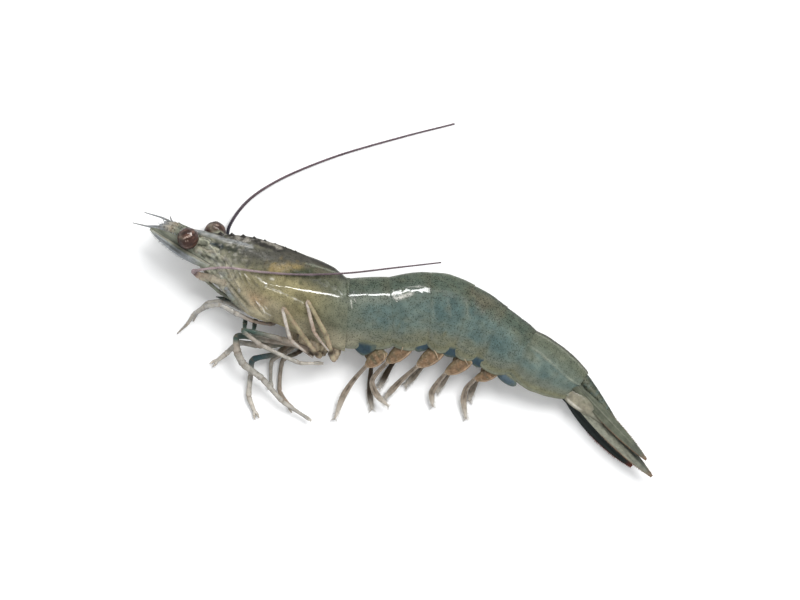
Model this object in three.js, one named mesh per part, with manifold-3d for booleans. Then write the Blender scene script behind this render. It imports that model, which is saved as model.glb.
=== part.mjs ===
// A whole raw whiteleg shrimp with its head on, lying on its right side. Millimetres, +Z up.
// X runs along the head shell towards the tail, Y towards the animal's back, and its left side
// faces up. Places are given from the neck, where the axis of the head shell meets the abdomen,
// with heights from the surface that the shrimp lies on.
import * as THREE from 'three';
import Module from 'manifold-3d';
import { LoftGeometry } from 'three/addons/geometries/LoftGeometry.js';
import { mergeVertices } from 'three/addons/utils/BufferGeometryUtils.js';

const wasm = await Module();
wasm.setup();

// Clearance between neighbouring pieces
const GAP = 0.3;

// The head shell: its length with the rostrum, the height of its axis, how far its back is
// turned up, and how far its rear rim leans
const CARAPACE_LENGTH = 47.3;
const CARAPACE_HEIGHT = 8.4;
const CARAPACE_ROLL = 20;
const NECK_BEND = 20.7;
const NECK_BEND_REACH = 10;
const CARAPACE_STEPS = 20;

// Profiles of the head shell, each as [distance forward of the neck, size]
const CARAPACE_BACK = [
  [0, 10.1], [8, 10.5], [15, 10.4], [22, 9.9], [29, 9.1], [34, 7.8], [38, 6.3], [47.3, 3.8],
];
const CARAPACE_HEM = [
  [0, 8], [15, 7.9], [22, 8.6], [26, 8.1], [29.5, 6.4], [32.5, 4.6], [37, 0.6], [40, -2.5], [47.3, -3.3],
];
const CARAPACE_LIP = [[0, 2], [24, 2], [32, 0], [47.3, 0]];
const CARAPACE_HALF = [
  [0, 8.3], [8, 8.9], [15, 9.1], [22, 8.6], [28, 7.5], [33, 6.3], [37, 4.4], [40, 1.9], [47.3, 0.3],
];

// Teeth along the ridge of the rostrum
const TEETH = 8;
const TOOTH_FIRST = 18;
const TOOTH_LAST = 38.5;
const TOOTH_HEIGHT = 2.4;
const TOOTH_RADIUS = 0.7;
const TOOTH_LEAN = 66;
const TOOTH_SIDES = 5;

// The six rings of the abdomen, front to back: length, turn along the ring, crown of the back
// and rounding of the side plate's lower edge
const RINGS = [
  { length: 12.2, bend: 7.9, crown: 0.55, lobe: 1.2 },
  { length: 10.1, bend: -6.3, crown: 0.3, lobe: 1.6 },
  { length: 9.2, bend: -15.5, crown: 0.4, lobe: 1.6 },
  { length: 8.7, bend: -11.1, crown: 0.25, lobe: 1.6 },
  { length: 9.8, bend: -2.8, crown: 0.25, lobe: 1.4 },
  { length: 17.9, bend: -4.2, crown: 1.2, lobe: 1.8 },
];
const RING_STEPS = [0, 0.12, 0.35, 0.62, 0.86, 1];
const RIM_LIP = 0.5;

// How evenly a ring swells along its length, the swelling at which its side plate keeps the given
// depth, and the share of the crown that the flanks take
const SWELL_POWER = 0.7;
const SWELL_NEUTRAL = 0.7;
const FLANK_CROWN = 0.4;

// Sizes of the abdomen at its seven joints, front to back
const ABDOMEN_BACK = [9.7, 10.1, 11.2, 9.9, 8.1, 6.5, 4.8];
const ABDOMEN_HEM = [7.6, 7.7, 8.1, 8.5, 8.4, 7.8, 4.6];
const ABDOMEN_LIP = [2.2, 2.2, 2.2, 2.2, 1.9, 1.1, 0.2];
const ABDOMEN_HALF = [8.2, 8.4, 8.3, 7.9, 7.2, 6.3, 3.9];
const ABDOMEN_HEIGHT = [8.2, 7.9, 7.8, 7.5, 6.9, 6, 4.2];
const ABDOMEN_ROLL = [18.5, 16.5, 14.2, 11.5, 9.4, 7, 5];

// Outline of a trunk section: points on a quarter of the back and on a flank, how much the flank
// draws in at the hem, how thick the hem is and how sharp the ridge of the back is. Inside the hem
// come its lower corner, its top and the belly, by shares of the lip's depth and the inner width.
const BACK_POINTS = 7;
const FLANK_POINTS = 4;
const HEM_DRAW_IN = 0.22;
const HEM_THICKNESS = 0.16;
const RIDGE = 1.18;
const HEM_CORNER = 0.15;
const HEM_TOP_WIDTH = 0.9;
const BELLY_DEPTH = 0.8;

// Limbs: sides of a round section and sections on each stretch between two given points
const LIMB_SIDES = 7;
const LIMB_STEPS = 3;

// Legs of each side as [x, y, height, radius] from the hip to the tip. The first three pairs end
// in a small pincer, and the last two left legs are folded up over the head shell.
const LEGS = {
  left: [
    [[-11, -7.6, 9.2, 1.1], [-9.8, -11.6, 6.2, 1.1], [-13, -15, 6.2, 1], [-17.8, -17.4, 6.2, 1],
      [-22.9, -19.1, 5.4, 0.8], [-24.8, -23.3, 2.8, 0.8], [-26.4, -26.3, 1.3, 0.6]],
    [[-8, -7.6, 9.4, 1.1], [-6.6, -12, 8.6, 1], [-15.4, -14.8, 8.8, 1], [-24, -17.6, 8.8, 0.9],
      [-22.1, -21.4, 8, 1.2], [-19.3, -23.7, 7, 1.1], [-13, -25.2, 5, 0.9], [-5.5, -28.6, 3, 0.7],
      [2, -29.8, 2, 0.5]],
    [[-5, -7.8, 9.2, 1], [-3.8, -12.4, 10.6, 0.9], [-12.7, -13.2, 11.8, 0.85], [-23.2, -15.4, 12, 0.7],
      [-17, -16.9, 13, 0.7], [-5.6, -17, 11.2, 0.6], [-1.4, -15.2, 10.2, 0.4]],
    [[-2, -7.8, 9, 1], [-1.4, -11.6, 9.2, 1], [-1.6, -13.2, 11.4, 0.9], [-7.4, -10.2, 14.8, 0.8],
      [-15.6, -5.4, 17.4, 0.7], [-10.3, -12.2, 14.8, 0.6], [-2.9, -14.2, 13.2, 0.3]],
    [[1, -7.8, 9, 1], [2, -11.4, 9.6, 1], [2.4, -12.4, 12, 0.9], [-2.4, -7, 16.6, 0.8],
      [-10.5, -1, 18.8, 0.7], [-5.3, -7.8, 16.6, 0.6], [0.3, -10.8, 14.8, 0.3]],
  ],
  right: [
    [[-11, -5.4, 3, 1.1], [-9.4, -9.5, 3.6, 1], [-11.8, -17, 3.9, 0.9], [-17.6, -21.7, 3.4, 0.9],
      [-16.4, -25.6, 2.4, 0.8], [-14.4, -31.2, 1.5, 0.8], [-11, -34.6, 0.8, 0.6]],
    [[-8, -5.2, 2.8, 1.1], [-6.8, -9.5, 2.3, 0.9], [-10.2, -16, 2.3, 0.7], [-12.8, -19.8, 1.9, 0.65],
      [-10.5, -25.6, 0.9, 0.5]],
    [[-5, -5.2, 2.8, 1.1], [-4.3, -9.5, 1.6, 0.9], [-7.4, -15, 1, 0.7], [-10.2, -18.5, 0.9, 0.65],
      [-7.4, -26.5, 0.9, 0.65], [-3.2, -29, 0.7, 0.5]],
    [[-2, -5.2, 2.8, 1], [-1.2, -8.6, 1.3, 0.9], [2.2, -8.6, 0.9, 0.6], [6.4, -6, 0.7, 0.3]],
    [[1, -5, 2.6, 0.9], [2.2, -6.8, 2.9, 0.8], [4.6, -5.8, 2.6, 0.6], [7, -4.6, 2.2, 0.3]],
  ],
};
const PINCER_LEGS = 3;
const FINGER_LENGTH = 2.6;
const FINGER_RADIUS = 0.36;
const FINGER_SPREAD = 18.5;
const FINGER_SIDES = 6;
const FINGER_STEPS = 2;

// Feeding limbs beside the mouth, given as the legs are
const MAXILLIPEDS = {
  left: [[-15, -7.8, 9.4, 1.2], [-16.6, -10.6, 9.2, 1.2], [-21.3, -12, 9.6, 1.1], [-27.1, -12.1, 9.8, 1],
    [-31.6, -11.8, 9.6, 0.9], [-35, -14, 7.6, 1], [-37, -17.2, 5, 0.9], [-37.7, -20.4, 2.8, 0.6],
    [-39.1, -23.8, 0.9, 0.25]],
  right: [[-15, -5.4, 3.2, 1.1], [-16.8, -8.8, 4, 1.1], [-21, -10, 6, 1], [-26.2, -10.4, 6.9, 0.9],
    [-31.4, -10.6, 6.8, 0.8], [-35, -12.8, 4.6, 0.8], [-36.4, -16, 2.2, 0.6], [-36.6, -19, 0.7, 0.25]],
};

// Swimming limbs: where the hip sits on its ring, how far out from the midline and below the
// belly, then the knee and the points of the blade as [x, y, height]
const SWIMMERET_HIP = 0.46;
const SWIMMERET_SIDE = 2.7;
const SWIMMERET_DROP = 1.45;
const SWIMMERETS = {
  left: [
    [[10.8, -11.2, 7.6], [9.4, -15.8, 5.6], [8.8, -20.5, 3.4], [9.3, -27.2, 1.1]],
    [[15.2, -7.4, 7.6], [14.2, -13.4, 5.8], [16.8, -16.2, 4.6], [21.2, -17.8, 3.6]],
    [[23.2, -4.4, 7.4], [21.2, -10, 4.8], [20, -13.6, 3], [19.2, -16.4, 1.6]],
    [[30.8, -2.6, 6.8], [30.4, -6.6, 4.8], [30.2, -9.6, 3], [32, -13, 1.3]],
    [[38.6, -0.6, 6], [38.1, -4.6, 4.2], [38.8, -7.8, 2.4], [41.6, -12.2, 1.1]],
  ],
  right: [
    [[12, -9, 2.4], [13.4, -13, 1.5], [15.2, -17, 1], [17.4, -20.6, 0.8]],
    [[17.6, -5, 2.4], [17, -8.4, 1.6], [16.8, -11.4, 1.1], [16.6, -14.4, 0.8]],
    [[25.4, -2.2, 2.4], [24.6, -5, 1.6], [23.8, -8, 1.1], [22.8, -11, 0.8]],
    [[32.6, -0.8, 2.4], [32, -3.6, 1.6], [31.6, -6.2, 1.1], [31.2, -9, 0.8]],
    [[40.2, 0.8, 2], [39.8, -2, 1.4], [39.8, -4.6, 1], [40.2, -7.4, 0.7]],
  ],
};
const SWIMMERET_HIP_SIZE = [1.5, 1];
const SWIMMERET_KNEE_SIZE = [1.3, 0.9];
const SWIMMERET_BLADE_SIZE = [1.2, 0.45];
const SWIMMERET_TIP_SIZE = [0.4, 0.25];

// Eyes on short stalks: centre, and root of the stalk in front of the head shell
const EYE_RADIUS = 2.75;
const EYE_SEGMENTS = [16, 10];
const STALK_RADIUS = 1.2;
const STALK_SIDES = 10;
const STALK_STEPS = 2;
const EYES = {
  left: { centre: [-46.5, 0.9, 15.4], root: [-41.2, 1.9, 12] },
  right: { centre: [-41.2, 5.4, 3.5], root: [-39.4, 3.6, 6.2] },
};

// Long second antennae from the stout foot to the tip, with [x, y, height, radius]. The left one
// lies over the body and the right one on the surface beside it.
const ANTENNAE = {
  left: [[-37, -6.6, 10.2, 1.6], [-39.8, -6.9, 10.6, 1.5], [-41.6, -6.6, 12, 0.7], [-40.4, -5.6, 14.2, 0.45],
    [-34.5, -2.2, 16, 0.4], [-25, 0.9, 17.8, 0.36], [-16, 4.3, 18, 0.34], [-4.6, 9.9, 15.4, 0.32],
    [7.5, 17.2, 10.4, 0.3], [17.7, 23.4, 7, 0.25]],
  right: [[-36.6, -4.8, 2.6, 1.5], [-39.4, -4.7, 2.2, 1.4], [-41, -2.6, 1.4, 0.8], [-39.2, 0.4, 1, 0.6],
    [-37.6, 4, 1.4, 0.55], [-38.4, 8.6, 2, 0.55], [-37, 16.1, 1.5, 0.5], [-32.4, 24.2, 1, 0.42],
    [-21.4, 36.5, 0.7, 0.36], [-6.6, 49.5, 0.55, 0.32], [5.4, 59.2, 0.4, 0.28]],
};
const ANTENNA_STEPS = 4;

// First antennae: a stout foot, then two short whips, with [x, y, height, radius]
const ANTENNULE_FOOT_SIDES = 8;
const ANTENNULE_WHIP_SIDES = 5;
const ANTENNULES = {
  left: {
    foot: [[-40.4, 0.4, 8.8, 1], [-46, 1.4, 9, 1], [-52, 1.2, 9.4, 0.8]],
    whips: [
      [[-51.6, 1.2, 9.4, 0.5], [-55, 0, 10, 0.45], [-62.1, -1.6, 10.6, 0.2]],
      [[-51.6, 1.2, 9.4, 0.5], [-55, 0.6, 9, 0.4], [-58.8, -0.9, 8.6, 0.2]],
    ],
  },
  right: {
    foot: [[-41.6, 1.2, 6.6, 1], [-46, 2.2, 6.6, 1], [-51.4, 2.4, 6.6, 0.8]],
    whips: [
      [[-51, 2.4, 6.4, 0.5], [-54.4, 3, 6.6, 0.4], [-60.6, 2.3, 7, 0.2]],
      [[-51, 2.4, 6.4, 0.5], [-52.6, 3, 6, 0.4], [-53.9, 4.2, 5.6, 0.2]],
    ],
  },
};

// Flat blades, each with the middle of its base, its length, width, heading and slope along it
// and its tilt across it. The scales beside the mouth are placed from the neck.
const SCALES = {
  left: { at: [-38.4, -3.2, 12], length: 18.7, width: 5.4, heading: 173, slope: 4, tilt: 33 },
  right: { at: [-38.6, -1.2, 4.2], length: 16.8, width: 5.4, heading: 176, slope: -3, tilt: -33 },
};

// The blades of the tail fan are placed from the last joint, along the fan, towards the back and up.
const FAN_BEND = -9.7;
const FAN_BLADES = {
  exopod_left: { at: [0.8, -2.3, 2.4], length: 30.5, width: 5.2, heading: 0, slope: -3, tilt: -52 },
  endopod_left: { at: [0.3, 0, 2.7], length: 26.6, width: 4.4, heading: -0.5, slope: -1, tilt: -62 },
  exopod_right: { at: [1, -3.6, -2.6], length: 24.7, width: 5.4, heading: -1.5, slope: 0, tilt: 18 },
  endopod_right: { at: [0.3, -0.6, -2.2], length: 23.6, width: 4.2, heading: -0.5, slope: 0, tilt: 50 },
};

// Form of every blade: half width and half thickness of its base, its thickness, the stretch of a
// half sine that its outline follows and how full that is, how far the thick base reaches and how
// much the blade thins towards its tip
const BLADE_STEPS = 9;
const BLADE_SIDES = 10;
const BLADE_BASE = [1.5, 0.75];
const BLADE_THICKNESS = 0.9;
const BLADE_OUTLINE_START = 0.14;
const BLADE_OUTLINE_RUN = 0.8;
const BLADE_FULLNESS = 0.8;
const BLADE_BASE_REACH = 1 / 3;
const BLADE_TIP_THINNING = 0.5;

// The pointed middle piece of the tail fan, its taper, and the share of its depth above its edges
const TELSON = { at: [0.3, 2.4, 0], length: 14.4, width: 3, depth: 3.4, heading: -5, slope: -2 };
const TELSON_TAPER = 0.9;
const TELSON_TAPER_POWER = 1.4;
const TELSON_RIDGE = 0.6;

// Block below the surface that trims the underside
const SURFACE_SIZE = [400, 400, 20];

const SHELL = new THREE.MeshStandardMaterial({ color: '#6b7468', roughness: 0.3, metalness: 0 });
const HEAD_SHELL = new THREE.MeshStandardMaterial({ color: '#857d66', roughness: 0.3, metalness: 0 });
const FAN = new THREE.MeshStandardMaterial({ color: '#5f655c', roughness: 0.35, metalness: 0 });
const LIMB = new THREE.MeshStandardMaterial({ color: '#aea698', roughness: 0.4, metalness: 0 });
const SWIMMER = new THREE.MeshStandardMaterial({ color: '#927c66', roughness: 0.4, metalness: 0 });
const WHIP = new THREE.MeshStandardMaterial({ color: '#77686e', roughness: 0.45, metalness: 0 });
const EYE = new THREE.MeshStandardMaterial({ color: '#4a3834', roughness: 0.15, metalness: 0 });

const UP = new THREE.Vector3(0, 0, 1);
const radians = THREE.MathUtils.degToRad;

// A smooth function through [place, size] pairs in rising order of place.
function through(pairs) {
  const slopes = pairs.map((_, i) => {
    const before = pairs[Math.max(i - 1, 0)];
    const after = pairs[Math.min(i + 1, pairs.length - 1)];
    return (after[1] - before[1]) / (after[0] - before[0]);
  });
  return (place) => {
    const found = pairs.findIndex((pair) => place <= pair[0]);
    const i = found < 0 ? pairs.length - 1 : Math.max(found, 1);
    const span = pairs[i][0] - pairs[i - 1][0];
    const t = (place - pairs[i - 1][0]) / span;
    const rise = (1 - t) ** 2 * t * span * slopes[i - 1] - t ** 2 * (1 - t) * span * slopes[i];
    const blend = t * t * (3 - 2 * t);
    return pairs[i - 1][1] * (1 - blend) + pairs[i][1] * blend + rise;
  };
}

// A function through sizes given at 0, 1, 2 and so on.
function alongJoints(sizes) {
  return through(sizes.map((size, joint) => [joint, size]));
}

function cleaned(geometry) {
  geometry.deleteAttribute('normal');
  geometry.deleteAttribute('uv');
  const merged = mergeVertices(geometry, 1e-4);
  merged.computeVertexNormals();
  return merged;
}

function toSolid(geometry) {
  const merged = cleaned(geometry);
  const vertProperties = Float32Array.from(merged.attributes.position.array);
  const triVerts = Uint32Array.from(merged.index.array);
  return new wasm.Manifold(new wasm.Mesh({ numProp: 3, vertProperties, triVerts }));
}

function toGeometry(solid) {
  const { vertProperties, triVerts } = solid.getMesh();
  const geometry = new THREE.BufferGeometry();
  geometry.setAttribute('position', new THREE.BufferAttribute(vertProperties, 3));
  geometry.setIndex(new THREE.BufferAttribute(triVerts, 1));
  geometry.computeVertexNormals();
  return geometry;
}

function joined(geometries) {
  const [first, ...others] = geometries.map(toSolid);
  return toGeometry(others.reduce((whole, other) => whole.add(other), first));
}

function loft(sections) {
  return new THREE.BufferGeometry().copy(new LoftGeometry(sections, { capStart: true, capEnd: true }));
}

// Outline of a trunk section as [towards the back, towards the left] pairs: over the back, down
// the left flank to the hem of the shell, in under the belly and up the right flank.
function trunkOutline({ back, hem, lip, half }) {
  const waist = (back - hem) / 2;
  const left = [];
  for (let i = 0; i <= BACK_POINTS; i++) {
    const angle = (i / BACK_POINTS) * (Math.PI / 2);
    left.push([waist + (back - waist) * Math.cos(angle), half * Math.sin(angle) ** RIDGE]);
  }
  for (let i = 1; i <= FLANK_POINTS; i++) {
    const down = i / FLANK_POINTS;
    left.push([THREE.MathUtils.lerp(waist, -hem, down), half * (1 - HEM_DRAW_IN * down ** 2)]);
  }
  const inner = half * (1 - HEM_DRAW_IN - HEM_THICKNESS);
  left.push([-hem + lip * HEM_CORNER, inner]);
  left.push([-hem + lip, inner * HEM_TOP_WIDTH]);
  const belly = [-hem + lip * BELLY_DEPTH, 0];
  const right = left.slice(1).reverse().map(([v, w]) => [v, -w]);
  return [...left, belly, ...right];
}

// A trunk section set up across the axis at a centre, with its back along the given direction in
// the plane of the surface, turned up by the roll.
function trunkSection(sizes, centre, backwards, roll) {
  const flat = new THREE.Vector3(-Math.sin(backwards), Math.cos(backwards), 0);
  const back = flat.clone().multiplyScalar(Math.cos(roll)).addScaledVector(UP, Math.sin(roll));
  const left = flat.clone().multiplyScalar(-Math.sin(roll)).addScaledVector(UP, Math.cos(roll));
  return trunkOutline(sizes).map(([v, w]) => {
    return centre.clone().addScaledVector(back, v).addScaledVector(left, w);
  });
}

function carapaceShell() {
  const back = through(CARAPACE_BACK);
  const hem = through(CARAPACE_HEM);
  const lip = through(CARAPACE_LIP);
  const half = through(CARAPACE_HALF);
  const sections = [];
  for (let i = 0; i <= CARAPACE_STEPS; i++) {
    const forward = THREE.MathUtils.lerp(CARAPACE_LENGTH, GAP / 2, i / CARAPACE_STEPS);
    const lean = radians(NECK_BEND) * (1 - THREE.MathUtils.smoothstep(forward, 0, NECK_BEND_REACH));
    const sizes = { back: back(forward), hem: hem(forward), lip: lip(forward), half: half(forward) };
    const centre = new THREE.Vector3(-forward, 0, CARAPACE_HEIGHT);
    sections.push(trunkSection(sizes, centre, lean, radians(CARAPACE_ROLL)));
  }
  return loft(sections);
}

// One forward-leaning tooth on the ridge.
function ridgeTooth(forward) {
  const tooth = new THREE.ConeGeometry(TOOTH_RADIUS, TOOTH_HEIGHT, TOOTH_SIDES);
  tooth.rotateZ(radians(TOOTH_LEAN));
  tooth.translate(-forward, through(CARAPACE_BACK)(forward), 0);
  tooth.rotateX(radians(CARAPACE_ROLL));
  tooth.translate(0, 0, CARAPACE_HEIGHT);
  return tooth;
}

function carapace() {
  const teeth = [];
  for (let i = 0; i < TEETH; i++) {
    teeth.push(ridgeTooth(THREE.MathUtils.lerp(TOOTH_FIRST, TOOTH_LAST, i / (TEETH - 1))));
  }
  return joined([carapaceShell(), ...teeth]);
}

// The point at a part of a ring's length, from the middle of its front, and the turn there.
function alongRing({ length, bend }, part) {
  const turn = radians(bend);
  const radius = length / turn;
  const point = new THREE.Vector3(radius * Math.sin(turn * part), radius * (1 - Math.cos(turn * part)), 0);
  return { point, turn: turn * part };
}

const ringBack = alongJoints(ABDOMEN_BACK);
const ringHem = alongJoints(ABDOMEN_HEM);
const ringLip = alongJoints(ABDOMEN_LIP);
const ringHalf = alongJoints(ABDOMEN_HALF);
const ringHeight = alongJoints(ABDOMEN_HEIGHT);
const ringRoll = alongJoints(ABDOMEN_ROLL);

// One ring of the abdomen in its own frame, with its front joint at the origin. The plate swells
// in the middle, ends in a raised rim and hangs down in a rounded lobe on each side.
function abdomenRing(index) {
  const ring = RINGS[index];
  const margin = GAP / 2 / ring.length;
  const sections = RING_STEPS.map((step) => {
    const part = THREE.MathUtils.lerp(margin, 1 - margin, step);
    const place = index + part;
    const swell = Math.sin(Math.PI * step) ** SWELL_POWER;
    const rim = RIM_LIP * step ** 2;
    const sizes = {
      back: ringBack(place) + ring.crown * swell + rim,
      hem: ringHem(place) + ring.lobe * (swell - SWELL_NEUTRAL),
      lip: ringLip(place) + ring.lobe * (swell - SWELL_NEUTRAL),
      half: ringHalf(place) + FLANK_CROWN * ring.crown * swell + rim,
    };
    const { point, turn } = alongRing(ring, part);
    point.z = ringHeight(place) - ringHeight(index);
    return trunkSection(sizes, point, turn, radians(ringRoll(place)));
  });
  return loft(sections);
}

// A closed tube through [x, y, height, ...] points, with a flattened section whose half width and
// half thickness are given by a function of the place along the points.
function limbAlong(points, sizeAt, sides, steps) {
  const curve = new THREE.CatmullRomCurve3(points.map(([x, y, z]) => new THREE.Vector3(x, y, z)));
  const count = (points.length - 1) * steps;
  const sections = [];
  for (let i = 0; i <= count; i++) {
    const t = i / count;
    const [width, thickness] = sizeAt(t * (points.length - 1));
    const centre = curve.getPoint(t);
    const along = curve.getTangent(t);
    const across = UP.clone().cross(along).normalize();
    const out = along.clone().cross(across);
    const section = [];
    for (let k = 0; k < sides; k++) {
      const angle = (k / sides) * Math.PI * 2;
      const point = centre.clone().addScaledVector(across, width * Math.cos(angle));
      section.push(point.addScaledVector(out, thickness * Math.sin(angle)));
    }
    sections.push(section);
  }
  return loft(sections);
}

// A round limb through [x, y, height, radius] points.
function roundLimb(points, sides = LIMB_SIDES, steps = LIMB_STEPS) {
  const radius = alongJoints(points.map((point) => point[3]));
  return limbAlong(points, (place) => [radius(place), radius(place)], sides, steps);
}

// The two fingers at the end of a leg, opened to either side of its direction.
function pincer(points) {
  const tip = new THREE.Vector3(...points.at(-1).slice(0, 3));
  const before = new THREE.Vector3(...points.at(-2).slice(0, 3));
  const along = tip.clone().sub(before).setZ(0).normalize();
  return [-1, 1].map((side) => {
    const heading = along.clone().applyAxisAngle(UP, side * radians(FINGER_SPREAD));
    const root = tip.clone().addScaledVector(along, -FINGER_RADIUS * 2);
    const mid = root.clone().addScaledVector(heading, FINGER_LENGTH / 2);
    const end = root.clone().addScaledVector(heading, FINGER_LENGTH);
    const stations = [[root, FINGER_RADIUS], [mid, FINGER_RADIUS], [end, FINGER_RADIUS / 2]];
    const finger = stations.map(([point, radius]) => [...point.toArray(), radius]);
    return roundLimb(finger, FINGER_SIDES, FINGER_STEPS);
  });
}

function leg(points, hasPincer) {
  const limb = roundLimb(points);
  return hasPincer ? joined([limb, ...pincer(points)]) : cleaned(limb);
}

// A swimming limb: a stout foot from the belly to the knee, then a long thin blade.
function swimmeret(hip, points) {
  const route = [hip, hip.map((value, i) => (value + points[0][i]) / 2), ...points];
  const sizes = [SWIMMERET_HIP_SIZE, SWIMMERET_HIP_SIZE, SWIMMERET_KNEE_SIZE];
  while (sizes.length < route.length - 1) {
    sizes.push(SWIMMERET_BLADE_SIZE);
  }
  sizes.push(SWIMMERET_TIP_SIZE);
  const width = alongJoints(sizes.map((size) => size[0]));
  const thickness = alongJoints(sizes.map((size) => size[1]));
  return cleaned(limbAlong(route, (place) => [width(place), thickness(place)], LIMB_SIDES, LIMB_STEPS));
}

// Where a swimming limb leaves the belly, in the given ring's frame and then in the whole's, so far
// out from the midline.
function swimmeretHip(joint, index, out) {
  const place = index + SWIMMERET_HIP;
  const roll = radians(ringRoll(place));
  const drop = ringLip(place) - ringHem(place) - SWIMMERET_DROP;
  const { point, turn } = alongRing(RINGS[index], SWIMMERET_HIP);
  const across = drop * Math.cos(roll) - out * Math.sin(roll);
  point.add(new THREE.Vector3(-Math.sin(turn) * across, Math.cos(turn) * across, 0));
  joint.localToWorld(point);
  point.z = ringHeight(place) + drop * Math.sin(roll) + out * Math.cos(roll);
  return point.toArray();
}

function eye({ centre, root }) {
  const ball = new THREE.SphereGeometry(EYE_RADIUS, ...EYE_SEGMENTS);
  ball.translate(...centre);
  const ends = [[...root, STALK_RADIUS], [...centre, STALK_RADIUS]];
  const stalk = roundLimb(ends, STALK_SIDES, STALK_STEPS);
  return joined([ball, stalk]);
}

function antennule({ foot, whips }) {
  const lashes = whips.map((whip) => roundLimb(whip, ANTENNULE_WHIP_SIDES));
  return joined([roundLimb(foot, ANTENNULE_FOOT_SIDES), ...lashes]);
}

// A blade along X from a narrow thick base, widest past its middle, with a rounded tip.
function blade({ length, width }) {
  const sections = [];
  for (let i = 0; i <= BLADE_STEPS; i++) {
    const t = i / BLADE_STEPS;
    const spread = Math.sin(Math.PI * (BLADE_OUTLINE_START + t * BLADE_OUTLINE_RUN)) ** BLADE_FULLNESS;
    const half = Math.max((width / 2) * spread, BLADE_BASE[0] * (1 - t) ** 2);
    const past = Math.min(t / BLADE_BASE_REACH, 1);
    const thinning = 1 - BLADE_TIP_THINNING * t;
    const thick = THREE.MathUtils.lerp(BLADE_BASE[1], BLADE_THICKNESS / 2, past) * thinning;
    const section = [];
    for (let k = 0; k < BLADE_SIDES; k++) {
      const angle = (k / BLADE_SIDES) * Math.PI * 2;
      section.push(new THREE.Vector3(t * length, half * Math.cos(angle), thick * Math.sin(angle)));
    }
    sections.push(section);
  }
  return cleaned(loft(sections));
}

// The telson along X: a tapering ridge with a flat underside, ending in a point.
function telson({ length, width, depth }) {
  const sections = [];
  for (let i = 0; i <= BLADE_STEPS; i++) {
    const t = i / BLADE_STEPS;
    const size = 1 - TELSON_TAPER * t ** TELSON_TAPER_POWER;
    const section = [];
    for (let k = 0; k < BLADE_SIDES; k++) {
      const angle = (k / BLADE_SIDES) * Math.PI * 2;
      const share = Math.cos(angle) > 0 ? TELSON_RIDGE : 1 - TELSON_RIDGE;
      const rise = depth * share * size * Math.cos(angle);
      section.push(new THREE.Vector3(t * length, rise, (width / 2) * size * Math.sin(angle)));
    }
    sections.push(section);
  }
  return cleaned(loft(sections));
}

function addMesh(parent, name, geometry, material) {
  const mesh = new THREE.Mesh(geometry, material);
  mesh.name = name;
  parent.add(mesh);
  return mesh;
}

// Lays a blade or the telson along its heading and slope.
function placeAlong(mesh, { at, heading, slope, tilt = 0 }) {
  mesh.rotation.order = 'ZYX';
  mesh.rotation.set(radians(tilt), radians(-slope), radians(heading));
  mesh.position.set(...at);
}

// Cuts a mesh level with the surface, which leaves a small flat spot to rest on.
function levelWithSurface(mesh) {
  const below = new THREE.BoxGeometry(...SURFACE_SIZE);
  below.translate(0, 0, -SURFACE_SIZE[2] / 2);
  below.applyMatrix4(mesh.matrixWorld.clone().invert());
  mesh.geometry = toGeometry(toSolid(mesh.geometry).subtract(toSolid(below)));
}

const shrimp = new THREE.Group();
const trunk = [addMesh(shrimp, 'carapace', carapace(), HEAD_SHELL)];

// The abdomen as a chain of joints, each one's group carrying the next one.
const joints = [new THREE.Group()];
joints[0].position.z = ABDOMEN_HEIGHT[0];
joints[0].rotation.z = radians(NECK_BEND);
shrimp.add(joints[0]);
RINGS.forEach((ring, index) => {
  trunk.push(addMesh(joints[index], `abdomen_${index + 1}`, cleaned(abdomenRing(index)), SHELL));
  const next = new THREE.Group();
  const end = alongRing(ring, 1);
  next.position.copy(end.point);
  next.position.z = ABDOMEN_HEIGHT[index + 1] - ABDOMEN_HEIGHT[index];
  next.rotation.z = end.turn;
  joints[index].add(next);
  joints.push(next);
});
shrimp.updateMatrixWorld(true);

for (const [side, out] of [['left', SWIMMERET_SIDE], ['right', -SWIMMERET_SIDE]]) {
  addMesh(shrimp, `eye_${side}`, eye(EYES[side]), EYE);
  addMesh(shrimp, `antenna_${side}`, cleaned(roundLimb(ANTENNAE[side], LIMB_SIDES, ANTENNA_STEPS)), WHIP);
  addMesh(shrimp, `antennule_${side}`, antennule(ANTENNULES[side]), LIMB);
  addMesh(shrimp, `maxilliped_${side}`, cleaned(roundLimb(MAXILLIPEDS[side])), LIMB);
  LEGS[side].forEach((points, index) => {
    addMesh(shrimp, `leg_${side}_${index + 1}`, leg(points, index < PINCER_LEGS), LIMB);
  });
  SWIMMERETS[side].forEach((points, index) => {
    const hip = swimmeretHip(joints[index], index, out);
    addMesh(shrimp, `swimmeret_${side}_${index + 1}`, swimmeret(hip, points), SWIMMER);
  });
}

for (const [side, sizes] of Object.entries(SCALES)) {
  placeAlong(addMesh(shrimp, `antennal_scale_${side}`, blade(sizes), LIMB), sizes);
}

const fan = new THREE.Group();
fan.rotation.z = radians(FAN_BEND);
joints.at(-1).add(fan);
for (const [name, sizes] of Object.entries(FAN_BLADES)) {
  placeAlong(addMesh(fan, `uropod_${name}`, blade(sizes), FAN), sizes);
}
placeAlong(addMesh(fan, 'telson', telson(TELSON), FAN), TELSON);

shrimp.updateMatrixWorld(true);
trunk.forEach(levelWithSurface);

// The origin is under the middle of the whole.
const middle = new THREE.Box3().setFromObject(shrimp, true).getCenter(new THREE.Vector3());
shrimp.position.set(-middle.x, -middle.y, 0);

export default shrimp;
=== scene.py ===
"""A raw whole shrimp on its right side: wet shell plates, limbs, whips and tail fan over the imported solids.

Lengths are in millimetres from the neck, where the axis of the head shell meets the abdomen. X runs towards
the tail, Y towards the back and Z up from the surface that the shrimp lies on.
"""
import math
from functools import partial

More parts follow.
